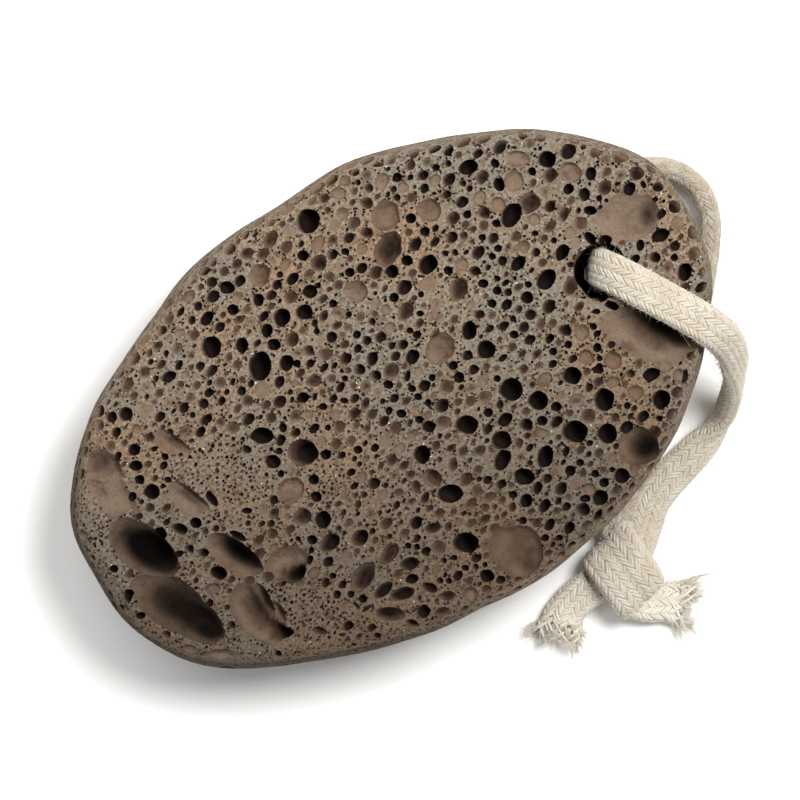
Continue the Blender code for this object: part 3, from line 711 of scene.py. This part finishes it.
def pumice():
    """Vesicular volcanic stone: a matt grey-brown glass with black pinpricks and white crystals in it.

    The skins of its bubbles are brown where they are open and painted black where they are deep: partly the
    glass's own tone and partly painted shade.
    """
    material, tree, shader = surface("sawn_volcanic_pumice", {"Roughness": 0.92, "Specular IOR Level": 0.06})
    place = node(tree, "ShaderNodeTexCoord").outputs["Object"]
    height = node(tree, "ShaderNodeSeparateXYZ", inputs={"Vector": place}).outputs["Z"]
    broad, patch, grain = [
        node(tree, "ShaderNodeTexNoise",
             inputs={"Vector": place, "Scale": per_mm(size), "Detail": detail}).outputs["Fac"]
        for size, detail in ((16, 3.0), (2.6, 4.0), (0.42, 3.0))]

    # The ground mass: grey to tan, with brown patches, dark grains and pale grains.
    ground = toned(tree, paint("746B5E"),
                   (broad, 0.35, 0.65, 0.0, 1.0, "7E6853"), (patch, 0.48, 0.7, 0.0, 1.0, "63513F"),
                   (grain, 0.52, 0.68, 0.0, 0.6, "352C25"), (grain, 0.34, 0.47, 0.6, 0.0, "958C7B"))

    # Ragged pinpricks about 0.2 mm across, which is the finest size that shows.
    bent = node(tree, "ShaderNodeTexNoise", inputs={"Vector": place, "Scale": per_mm(0.7), "Detail": 2.0})
    ragged = node(tree, VECTOR, {"operation": "MULTIPLY_ADD"},
                  {0: bent.outputs["Color"], 1: (0.0006, 0.0006, 0.0006), 2: place}).outputs[0]
    prick = 0.0
    for size, inner, outer, least in ((0.66, 0.23, 0.31, 0.34), (1.15, 0.19, 0.24, 0.36)):
        spots = node(tree, "ShaderNodeTexVoronoi", inputs={"Vector": ragged, "Scale": per_mm(size)})
        spot = node(tree, STEP, SMOOTH, {0: spots.outputs["Distance"], 1: outer, 2: inner}).outputs[0]
        chance = node(tree, STEP, SMOOTH, {0: patch, 1: least, 2: least + 0.12}).outputs[0]
        spot = node(tree, MATH, TIMES, {0: spot, 1: chance}).outputs[0]
        prick = node(tree, MATH, {"operation": "MAXIMUM"}, {0: prick, 1: spot}).outputs[0]
    ground = node(tree, MIX, COLOURS, {0: prick, 6: ground, 7: paint("130F0C")}).outputs[2]

    # White crystals, in one cell out of ten.
    crystals = node(tree, "ShaderNodeTexVoronoi", inputs={"Vector": place, "Scale": per_mm(0.9)})
    crystal = node(tree, STEP, SMOOTH, {0: crystals.outputs["Distance"], 1: 0.17, 2: 0.1}).outputs[0]
    picked = node(tree, "ShaderNodeSeparateColor", inputs={"Color": crystals.outputs["Color"]})
    chance = node(tree, STEP, SMOOTH, {0: picked.outputs["Red"], 1: 0.9, 2: 0.93}).outputs[0]
    crystal = node(tree, MATH, TIMES, {0: crystal, 1: chance}).outputs[0]
    ground = node(tree, MIX, COLOURS, {0: crystal, 6: ground, 7: paint("D5D2C9")}).outputs[2]

    # The tumbled sides are rubbed to a paler grey than the sawn face.
    ground = toned(tree, ground, (height, *FACE_STARTS, 0.34, 0.0, "7F796D"))

    # The bubbles' skins: fade is how fast they are painted darker for each millimetre of depth, partly the
    # glass's own tone and partly painted shade.
    fade, depth, soot_and_shade = [node(tree, "ShaderNodeAttribute", {"attribute_name": name}).outputs["Fac"]
                         for name in ("fade", "depth", "soot_and_shade")]
    depth_shade = node(tree, MATH, TIMES, {0: fade, 1: depth}).outputs[0]
    skin = toned(tree, paint("776656"),
                 (broad, 0.4, 0.62, 0.0, 1.0, "715C4B"), (patch, 0.5, 0.76, 0.0, 1.0, "5A483B"),
                 (grain, 0.5, 0.72, 0.0, 0.4, "4A3B30"), (depth_shade, 0.5, 1.35, 0.0, 1.0, "48372D"),
                 (depth_shade, 1.25, 2.05, 0.0, 1.0, "1E1713"))
    # Soot and painted shade in the wide hollows, with the cord's painted shadow across one of them.
    skin = node(tree, MIX, COLOURS, {0: soot_and_shade, 6: skin, 7: paint("0B0705")}).outputs[2]
    is_skin = node(tree, MATH, {"operation": "GREATER_THAN"}, {0: fade, 1: 0.001}).outputs[0]
    colour = node(tree, MIX, COLOURS, {0: is_skin, 6: ground, 7: skin}).outputs[2]

    # Painted shade darkens one long side, and the rim of its plain end.
    for (way, start, end), most, (low, high), least, blend, tone in (
            (SHADED_SIDE, 0.56, FACE_STARTS, 0.15, "MIX", "2A211B"),
            (SHADED_END, 0.66, SHADED_RIM, 0.0, "MULTIPLY", "625C55")):
        reached = node(tree, VECTOR, ALONG, {0: place, 1: way}).outputs["Value"]
        share = node(tree, STEP, SMOOTH, {0: reached, 1: start, 2: end, 4: most}).outputs[0]
        level = node(tree, STEP, SMOOTH, {0: height, 1: low, 2: high, 3: least}).outputs[0]
        share = node(tree, MATH, TIMES, {0: share, 1: level}).outputs[0]
        colour = node(tree, MIX, {**COLOURS, "blend_type": blend},
                      {0: share, 6: colour, 7: paint(tone)}).outputs[2]
    tree.links.new(colour, shader.inputs["Base Color"])

    dip = node(tree, MATH, TIMES, {0: prick, 1: 0.9}).outputs[0]
    rough = node(tree, MATH, {"operation": "SUBTRACT"}, {0: grain, 1: dip}).outputs[0]
    rise = node(tree, "ShaderNodeBump", inputs={"Strength": 0.55, "Distance": 0.00016, "Height": rough})
    tree.links.new(rise.outputs["Normal"], shader.inputs["Normal"])
    return material


stone.data.materials.clear()
stone.data.materials.append(pumice())
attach(stone, "root")
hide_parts("pumice_stone")


# ======== The braided cord ========
# One soft cotton cord 5.8 mm wide and 3.4 mm thick: a hollow tubular braid, pressed flat.
# It passes once through the drilled hole, and both legs run to one knot beside the stone.

CORD_WIDTH = 5.8
CORD_THICKNESS = 3.4
CARRIERS = 12                   # yarns that wind each way, two ends to a yarn
LAY = 17.5                      # length in which a yarn goes once round
YARN_RADIUS = 0.29
YARN_WEAVE = 0.17               # how far a yarn rises and dips as it crosses the others
YARN_PAIR = 0.11                # how far the two ends of a yarn lie from even spacing
YARN_STRAY = (0.0022, 0.02)     # how far it strays: round the braid in turns, and out of it
YARN_SNAP = 2.0                 # how suddenly it goes from over to under
YARN_STEP = 0.42                # between the points of a yarn
CORE_RADIUS = 0.62
CORE_PLACES = (-1.2, -0.4, 0.4, 1.2)    # of the loose yarns inside, across the cord
LYING = CORD_THICKNESS / 2 + 0.05
ON_FACE = STONE_HEIGHT + CORD_THICKNESS / 2 + 0.3
CORD_SEED = 23

# Each route starts in the drilled hole and runs into the knot.
FRONT_ROUTE = (
    (36.5, -0.2, 13.1), (36.3, 0.1, 17.2), (35.9, 0.8, 21.0), (36.3, 0.0, 24.7),
    (37.6, -2.1, 27.4), (39.5, -5.4, ON_FACE), (41.3, -8.6, ON_FACE), (43.0, -11.6, ON_FACE),
    (44.6, -14.7, 27.6), (45.8, -17.5, 25.4), (46.2, -19.8, 22.0), (45.8, -22.3, 17.4),
    (44.6, -24.7, 12.0), (42.9, -26.8, 7.0), (40.6, -28.6, 3.5), (37.4, -30.1, LYING),
    (33.0, -31.3, LYING), (28.6, -32.3, LYING), (25.0, -33.8, LYING), (22.1, -36.0, 2.6),
    (19.4, -38.2, 4.0),
)
BACK_ROUTE = (
    (36.5, -0.2, 12.8), (36.5, -0.1, 9.0), (37.1, 0.8, 5.5), (38.9, 3.1, 2.8),
    (41.9, 6.6, LYING), (45.2, 8.9, 2.1), (48.7, 9.8, 2.7), (52.0, 9.0, 3.0),
    (54.7, 6.7, 3.0), (56.1, 2.8, 3.0), (55.3, -1.5, 3.0), (52.8, -5.5, 2.8),
    (49.5, -9.4, 2.3), (45.4, -13.2, LYING), (40.5, -16.8, LYING), (34.9, -20.3, LYING),
    (29.4, -23.8, LYING), (24.1, -27.7, LYING), (20.2, -31.8, 2.3), (17.6, -36.0, 4.0),
)
# Which way the cord's flat side faces, at as many places spread along its route.
FRONT_FACING = (
    (-0.8, 0.6, 0.0), (-0.8, 0.6, 0.0), (-0.7, 0.65, 0.35), (-0.2, 0.4, 0.9), (0.0, 0.0, 1.0),
    (0.05, -0.1, 1.0), (0.3, -0.3, 0.9), (0.8, -0.5, 0.3), (0.85, -0.53, 0.1), (0.7, -0.5, 0.6),
    (0.1, -0.2, 1.0), (0.0, 0.0, 1.0), (0.0, 0.0, 1.0),
)
BACK_FACING = (
    (-0.53, 0.85, 0.0), (-0.5, 0.8, 0.3), (-0.3, 0.6, 0.8), (0.75, 0.65, 0.1), (0.97, -0.1, 0.0),
    (0.75, -0.6, 0.3), (0.2, -0.2, 1.0), (0.0, 0.0, 1.0), (0.0, 0.0, 1.0), (0.0, 0.0, 1.0),
)
# How the cord gives where it is pinched: a place along its route, and its shares of width and thickness.
FRONT_SQUEEZE = ((0.0, 0.8, 0.95), (5.0, 0.86, 0.9), (9.0, 1.06, 0.92), (34.0, 1.0, 0.97),
                 (40.0, 0.85, 0.97), (48.0, 0.85, 0.97), (60.0, 1.0, 1.0))
BACK_SQUEEZE = ((0.0, 0.76, 1.22), (8.0, 0.76, 1.22), (16.0, 0.9, 1.0), (24.0, 0.85, 1.0),
                (44.0, 0.85, 1.0), (55.0, 1.0, 1.0))


def smooth_route(points, steps=24):
    """A dense run of points on the smooth curve through a route's own points."""
    knots = [Vector(point) for point in points]
    knots = [2 * knots[0] - knots[1], *knots, 2 * knots[-1] - knots[-2]]
    dense = []
    for index in range(1, len(knots) - 2):
        four = knots[index - 1:index + 3]
        dense.extend(smooth_between(*four, step / steps) for step in range(steps))
    return np.array(dense + [knots[-2]])


def resampled(points, count):
    """The same line in evenly spaced points."""
    gaps = np.linalg.norm(np.diff(points, axis=0), axis=1)
    reached = np.concatenate(([0.0], np.cumsum(gaps)))
    wanted = np.linspace(0.0, reached[-1], count)
    return np.stack([np.interp(wanted, reached, points[:, axis]) for axis in range(3)], axis=1)


def unit(vectors):
    return vectors / np.maximum(np.linalg.norm(vectors, axis=-1, keepdims=True), 1e-9)


class CordLine:
    """A cord's middle line, with the directions of its run, its flat side and its width."""

    def __init__(self, route, facing, step, squeeze=((0.0, 1.0, 1.0),)):
        dense = smooth_route(route)
        length = np.linalg.norm(np.diff(dense, axis=0), axis=1).sum()
        count = max(8, round(length / step) + 1)
        self.middle = resampled(dense, count)
        self.length = length
        self.along = np.linspace(0.0, length, count)
        places, widths, depths = zip(*squeeze)
        self.width_share = np.interp(self.along, places, widths)
        self.depth_share = np.interp(self.along, places, depths)
        run = unit(np.gradient(self.middle, axis=0))
        hints = smooth_route(facing)
        share = np.linspace(0.0, len(hints) - 1.0, count)
        spread = np.arange(len(hints))
        hint = np.stack([np.interp(share, spread, hints[:, axis]) for axis in range(3)], axis=1)
        self.wide = unit(np.cross(run, hint))
        self.flat = unit(np.cross(self.wide, run))


def section_table(half_width, half_thickness, power=2.6, count=720):
    """Places and outward directions round a flattened ring, evenly spaced along it."""
    angle = np.linspace(0.0, math.tau, count + 1)
    across = half_width * np.sign(np.cos(angle)) * np.abs(np.cos(angle)) ** (2 / power)
    through = half_thickness * np.sign(np.sin(angle)) * np.abs(np.sin(angle)) ** (2 / power)
    reached = np.concatenate(([0.0], np.cumsum(np.hypot(np.diff(across), np.diff(through)))))
    even = np.linspace(0.0, reached[-1], count + 1)
    across = np.interp(even, reached, across)
    through = np.interp(even, reached, through)
    out_across = np.gradient(through)
    out_through = -np.gradient(across)
    size = np.hypot(out_across, out_through)
    return across, through, out_across / size, out_through / size


def braid_yarns(line):
    """The run of every yarn in a stretch of the braid."""
    inset = YARN_RADIUS + YARN_WEAVE
    across, through, out_across, out_through = section_table(CORD_WIDTH / 2 - inset,
                                                             CORD_THICKNESS / 2 - inset)
    spread = np.linspace(0.0, 1.0, len(across))
    yarns = []
    for way in (1, -1):
        for number in range(2 * CARRIERS):
            pair = YARN_PAIR if number % 2 else -YARN_PAIR
            start = (number + 0.5 + pair) / (2 * CARRIERS) + draw.gauss(0, YARN_STRAY[0])
            place = start + way * line.along / LAY
            turn = place % 1.0
            wave = np.tanh(YARN_SNAP * np.cos(math.tau * CARRIERS / 2 * place)) / np.tanh(YARN_SNAP)
            rise = way * YARN_WEAVE * wave + draw.gauss(0, YARN_STRAY[1])
            x = np.interp(turn, spread, across) + rise * np.interp(turn, spread, out_across)
            y = np.interp(turn, spread, through) + rise * np.interp(turn, spread, out_through)
            x, y = x * line.width_share, y * line.depth_share
            yarns.append(line.middle + line.wide * x[:, None] + line.flat * y[:, None])
    return yarns


def core_yarns(line):
    """The loose yarns inside the braid, which fill it."""
    return [line.middle + line.wide * (place * line.width_share[:, None]) for place in CORE_PLACES]


def strands(name, groups, roundness=1):
    """One mesh of round strands. Each group is a list of runs and the radius of its strands."""
    curve = bpy.data.curves.new(name, "CURVE")
    curve.dimensions = "3D"
    curve.bevel_depth = MM
    curve.bevel_resolution = roundness
    curve.use_fill_caps = True
    for runs, radius in groups:
        for run in runs:
            spline = curve.splines.new("POLY")
            spline.points.add(len(run) - 1)
            spline.use_smooth = True
            values = np.ones((len(run), 4))
            values[:, :3] = run * MM
            values[:, 2] = np.maximum(run[:, 2], radius) * MM       # what it lies on presses it flat
            spline.points.foreach_set("co", values.ravel())
            spline.points.foreach_set("radius", np.broadcast_to(radius, (len(run),)).astype(float))
    holder = linked(name, curve)
    mesh = bpy.data.meshes.new_from_object(holder.evaluated_get(bpy.context.evaluated_depsgraph_get()))
    bpy.data.objects.remove(holder)
    return linked(name, mesh)


def braided(name, *lines):
    """One mesh of the braid along each line, filled with its loose yarns."""
    return strands(name, [group for line in lines
                          for group in ((braid_yarns(line), YARN_RADIUS), (core_yarns(line), CORE_RADIUS))])


# In metres: from unshaded to painted shade by the distance from the hole's middle, and by height.
HOLE_SHADE_REACH, HOLE_SHADE_HEIGHTS = (0.0052, 0.0042), (0.0255, 0.019)


def cotton(name, pale, deep, fibre_tone):
    """Undyed, unbleached cotton yarn, softly twisted: a warm cream that scatters light, with a fine nap."""
    material, tree, shader = surface(name, {
        "Roughness": 0.88, "Specular IOR Level": 0.2, "Sheen Weight": 0.25, "Sheen Roughness": 0.5,
        "Subsurface Weight": 0.3, "Subsurface Scale": 0.0006, "Subsurface Radius": (1.0, 0.9, 0.8)})
    place = node(tree, "ShaderNodeTexCoord").outputs["Object"]
    broad, fibre = [
        node(tree, "ShaderNodeTexNoise",
             inputs={"Vector": place, "Scale": per_mm(size), "Detail": detail}).outputs["Fac"]
        for size, detail in ((2.2, 2.0), (0.35, 3.0))]
    colour = toned(tree, paint(pale), (broad, 0.35, 0.65, 0.0, 1.0, deep),
                   (fibre, 0.45, 0.75, 0.0, 0.5, fibre_tone))

    # Down in the drilled hole it is painted black: painted shade.
    part = node(tree, "ShaderNodeSeparateXYZ", inputs={"Vector": place}).outputs
    level = node(tree, "ShaderNodeCombineXYZ", inputs={"X": part["X"], "Y": part["Y"]}).outputs[0]
    off = node(tree, VECTOR, {"operation": "DISTANCE"},
               {0: level, 1: (HOLE_PLACE[0] * MM, HOLE_PLACE[1] * MM, 0.0)}).outputs["Value"]
    near, down = [
        node(tree, STEP, SMOOTH, {0: value, 1: start, 2: end, 4: most}).outputs[0]
        for value, (start, end), most in ((off, HOLE_SHADE_REACH, 1.0), (part["Z"], HOLE_SHADE_HEIGHTS, 0.9))]
    hole_shade = node(tree, MATH, TIMES, {0: near, 1: down}).outputs[0]
    colour = node(tree, MIX, COLOURS, {0: hole_shade, 6: colour, 7: paint("241D18")}).outputs[2]
    tree.links.new(colour, shader.inputs["Base Color"])
    nap = node(tree, "ShaderNodeBump", inputs={"Strength": 0.4, "Distance": 0.00008, "Height": fibre})
    tree.links.new(nap.outputs["Normal"], shader.inputs["Normal"])
    return material


yarn_cotton = cotton("undyed_cotton_yarn", "C6BEAF", "BDB2A0", "A69882")
shaded_cotton = cotton("undyed_cotton_yarn_in_painted_shade", "B5AB9B", "A69A87", "8C7E6B")     # the same cotton painted darker: painted shade on the back leg and its fuzz


def dress(piece, *nodes, material=yarn_cotton):
    """Give a piece of cord its cotton, and let it stand for its nodes."""
    piece.data.materials.clear()
    piece.data.materials.append(material)
    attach(piece, "root")
    if nodes:
        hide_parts(*nodes)
    return piece


draw = random.Random(CORD_SEED)
front_line = CordLine(FRONT_ROUTE, FRONT_FACING, YARN_STEP, FRONT_SQUEEZE)
back_line = CordLine(BACK_ROUTE, BACK_FACING, YARN_STEP, BACK_SQUEEZE)
front_leg = dress(braided("cord_front_leg", front_line), "cord_front")
back_leg = dress(braided("cord_back_leg", back_line), "cord_back", material=shaded_cotton)


# ======== The knot ========
# Both legs are tied in one tight overhand knot, pressed flat where it lies.
# One strand runs through it and the other wraps round it.

KNOT_MIDDLE = np.array((15.6, -40.4, 4.75))
KNOT_AXIS = np.array((-0.97, -0.22, 0.0))
KNOT_SIDE = np.array((0.22, -0.97, 0.0))
KNOT_REACH = (4.3, 2.75)        # half the wrap's width and height, to the cord's middle
KNOT_RUN = 2.9                  # how far the wrap goes along the knot, each way
KNOT_TURNS = (180, -360)        # degrees round the knot, from the back leg to the right end
WRAP_START = (18.6, -34.3, 3.1)
THROUGH_ROUTE = ((22.1, -36.0, 2.6), (19.4, -38.2, 4.2), (15.6, -40.3, 4.9), (10.6, -39.9, 3.6))
FLAT = ((0.0, 0.0, 1.0), (0.0, 0.0, 1.0))


def wrap_route(steps=18):
    """The wrapping strand's points and the way that its flat side faces."""
    points, facing = [WRAP_START], [(0.0, 0.2, 1.0)]
    first, last = KNOT_TURNS
    for step in range(steps + 1):
        angle = math.radians(first + (last - first) * step / steps)
        shift = KNOT_RUN * (2 * step / steps - 1)
        side, climb = math.cos(angle), np.array((0.0, 0.0, math.sin(angle)))
        place = (KNOT_MIDDLE + KNOT_AXIS * shift + KNOT_SIDE * KNOT_REACH[0] * side
                 + KNOT_REACH[1] * climb)
        points.append(tuple(place))
        facing.append(tuple(KNOT_SIDE * side + climb))
    return points, facing


knot = dress(braided("cord_knot_wrap", CordLine(*wrap_route(), 0.7), CordLine(THROUGH_ROUTE, FLAT, 0.8)),
             "cord_knot")


# ======== The frayed ends ========
# Past the knot each strand is cut, and its yarns have come apart into soft tufts.
# Each yarn of undyed cotton breaks off on its own, in a lock of loose fibres.

LEFT_END = ((10.6, -39.9, 3.6), (7.2, -40.4, 2.4), (4.4, -41.5, LYING), (1.2, -44.4, LYING))
RIGHT_END = ((14.2, -44.6, 4.4), (16.4, -46.9, 2.6), (19.0, -48.3, LYING), (21.6, -50.6, LYING))
FRAY_START = 0.45               # share of an end that is still braided
FRAY_SPREAD = 1.5
FRAY_KEPT = (0.76, 1.0)         # where its yarns break off, as a share of their length
LOCK_FIBRES = 13                # fibres in the lock that each yarn ends in
FIBRE_RADIUS = 0.055            # a few fibres together, as one alone is too fine to show
# A copy of the cotton painted paler: painted light that offsets the shade among the loose fibres.
loose_cotton_painted_paler = cotton("loose_cotton_fibre_painted_paler", "D8D1C2", "CDC5B4", "B9AE9B")


def strayed(level, climb, drop=0.0):
    """A random push: how far it spreads in the level and up or down, and how far it drops."""
    return np.array([draw.gauss(0, level), draw.gauss(0, level), draw.gauss(-drop, climb)])


def fibre_reach(usual, long, share):
    """A fibre's length: usual for that share of them, and long for the rest."""
    return draw.uniform(*usual) if draw.random() < share else draw.uniform(*long)


def frayed(name, route, node_name):
    """An end of the cord: braided at first, and then opening into separate yarns and fibres."""
    line = CordLine(route, FLAT, 0.5)
    share = np.clip((line.along / line.length - FRAY_START) / (1 - FRAY_START), 0.0, 1.0)
    groups, tips = [], []
    for yarn in braid_yarns(line):
        own = yarn - line.middle
        away = 1 + (FRAY_SPREAD - 1) * share ** 1.5 * draw.uniform(0.6, 1.5)
        sway = (line.wide * draw.gauss(0, 0.5) + line.flat * draw.gauss(0, 0.25)) * share[:, None] ** 2
        run = line.middle + own * away[:, None] + sway
        run[:, 2] = np.maximum(run[:, 2], 0.3)
        keep = max(6, round(len(run) * draw.uniform(*FRAY_KEPT)))
        groups.append(([run[:keep]], YARN_RADIUS * (1 - 0.45 * share[:keep] ** 2)))
        tips.append((run[keep - 1], unit(run[keep - 1] - run[keep - 3])))
    parts = np.linspace(0.0, 1.0, 6)[:, None]
    for start, way in tips:
        lock = way + strayed(0.2, 0.1)
        bend = strayed(0.5, 0.2, 0.2)
        for _ in range(LOCK_FIBRES):
            push = unit(lock + strayed(0.15, 0.12))
            curl = bend + strayed(0.3, 0.1)
            reach = fibre_reach((1.2, 2.8), (2.6, 4.6), 0.9)
            run = start - way * 0.6 + push * parts * reach + curl * parts ** 2 * reach * 0.35
            run[:, 2] = np.maximum(run[:, 2], 0.08)
            groups.append(([run], FIBRE_RADIUS * (1 - 0.6 * parts[:, 0])))
    groups.append((core_yarns(line)[1:3], 0.6 * (1 - 0.8 * share)))
    return dress(strands(name, groups), node_name, material=loose_cotton_painted_paler)


left_end = frayed("cord_frayed_end_left", LEFT_END, "cord_end_left")
right_end = frayed("cord_frayed_end_right", RIGHT_END, "cord_end_right")


# ======== The cord's fuzz ========
# Loose cotton fibres that stand off the braid, more of them along its edges.
# Wear has pulled them out of its yarns, and they are drawn a little thicker than life, to show.

FUZZ_FIBRES = 2400              # on each leg
FUZZ_RADIUS = 0.028             # at a fibre's root
FUZZ_ROOT = 0.25                # how far in under the braid's surface a fibre starts


def fuzz(name, line, material):
    runs = []
    parts = np.linspace(0.0, 1.0, 4)[:, None]
    for _ in range(FUZZ_FIBRES):
        at = draw.randrange(2, len(line.middle) - 2)
        if draw.random() < 0.5:         # at one of the braid's edges
            angle = draw.choice((0, math.pi)) + draw.gauss(0, 0.7)
        else:
            angle = draw.uniform(0, math.tau)
        across, through = line.wide[at] * math.cos(angle), line.flat[at] * math.sin(angle)
        start = (line.middle[at] + across * (CORD_WIDTH / 2 - FUZZ_ROOT)
                 + through * (CORD_THICKNESS / 2 - FUZZ_ROOT))
        run_way = unit(line.middle[at + 1] - line.middle[at - 1]) * draw.choice((-1, 1))
        reach = fibre_reach((0.35, 1.0), (1.0, 2.2), 0.95)
        lean = draw.uniform(0.2, 1.2)
        run = start + ((across + through) * parts * 0.6 + run_way * parts * lean) * reach
        run += strayed(0.3, 0.3) * parts ** 2 * reach
        run[:, 2] = np.maximum(run[:, 2], 0.06)
        runs.append(([run], FUZZ_RADIUS * (1 - 0.5 * parts[:, 0])))
    return dress(strands(name, runs, 0), material=material)


front_fuzz = fuzz("cord_front_fuzz", front_line, yarn_cotton)
back_fuzz = fuzz("cord_back_fuzz", back_line, shaded_cotton)


# ======== What it is shown on ========
# A plain pale floor of matt white board, and two soft lamps above the stone's far side.
# The camera looks straight down.

CAMERA_UP = Vector((0.5299, 0.8480, 0.0))
CAMERA_RIGHT = Vector((0.8480, -0.5299, 0.0))
CAMERA_OVER = Vector((0.00049, -0.00038, 0.0))
CAMERA_HEIGHT = 0.788
VIEW_ACROSS = 0.120             # width of the view, level with the stone's widest outline
SENSOR = 36.0
FLOOR_REACH = 2500.0
DAYLIGHT = 0.42
# Each lamp: the way to it, its distance and width in metres, and its power in watts.
LAMPS = {
    "key_lamp": (CAMERA_RIGHT * 0.36 + CAMERA_UP * 0.3 + UP, 0.9, 0.35, 9.2),
    "fill_lamp": (CAMERA_UP * 0.45 - CAMERA_RIGHT * 0.45 + UP, 0.42, 0.3, 0.7),
}

shape = bmesh.new()
bmesh.ops.create_grid(shape, x_segments=1, y_segments=1, size=FLOOR_REACH)
floor = object_of(shape, "floor")
floor.data.materials.append(surface("matt_white_board", {"Base Color": paint("F7F6F4"), "Roughness": 0.9})[0])

for name, (way, distance, size, power) in LAMPS.items():
    light = bpy.data.lights.new(name, "AREA")
    light.shape = "DISK"
    light.size = size
    light.energy = power
    lamp = linked(name, light)
    lamp.location = way.normalized() * distance
    lamp.rotation_mode = "QUATERNION"
    lamp.rotation_quaternion = way.to_track_quat("Z", "Y")

world = bpy.data.worlds.new("soft_room")
world.use_nodes = True
for socket, value in (("Color", (1.0, 1.0, 1.0, 1.0)), ("Strength", DAYLIGHT)):
    world.node_tree.nodes["Background"].inputs[socket].default_value = value
bpy.context.scene.world = world

camera = linked("camera", bpy.data.cameras.new("camera"))
camera.data.sensor_width = SENSOR
camera.data.lens = SENSOR * (CAMERA_HEIGHT - WIDEST_HEIGHT * MM) / VIEW_ACROSS
camera.data.clip_start = 0.05
camera.data.clip_end = 10.0
axes = Matrix((CAMERA_RIGHT, CAMERA_UP, UP)).transposed().to_4x4()
camera.matrix_world = Matrix.Translation(CAMERA_OVER + UP * CAMERA_HEIGHT) @ axes
bpy.context.scene.camera = camera
bpy.context.scene.view_settings.view_transform = "Standard"
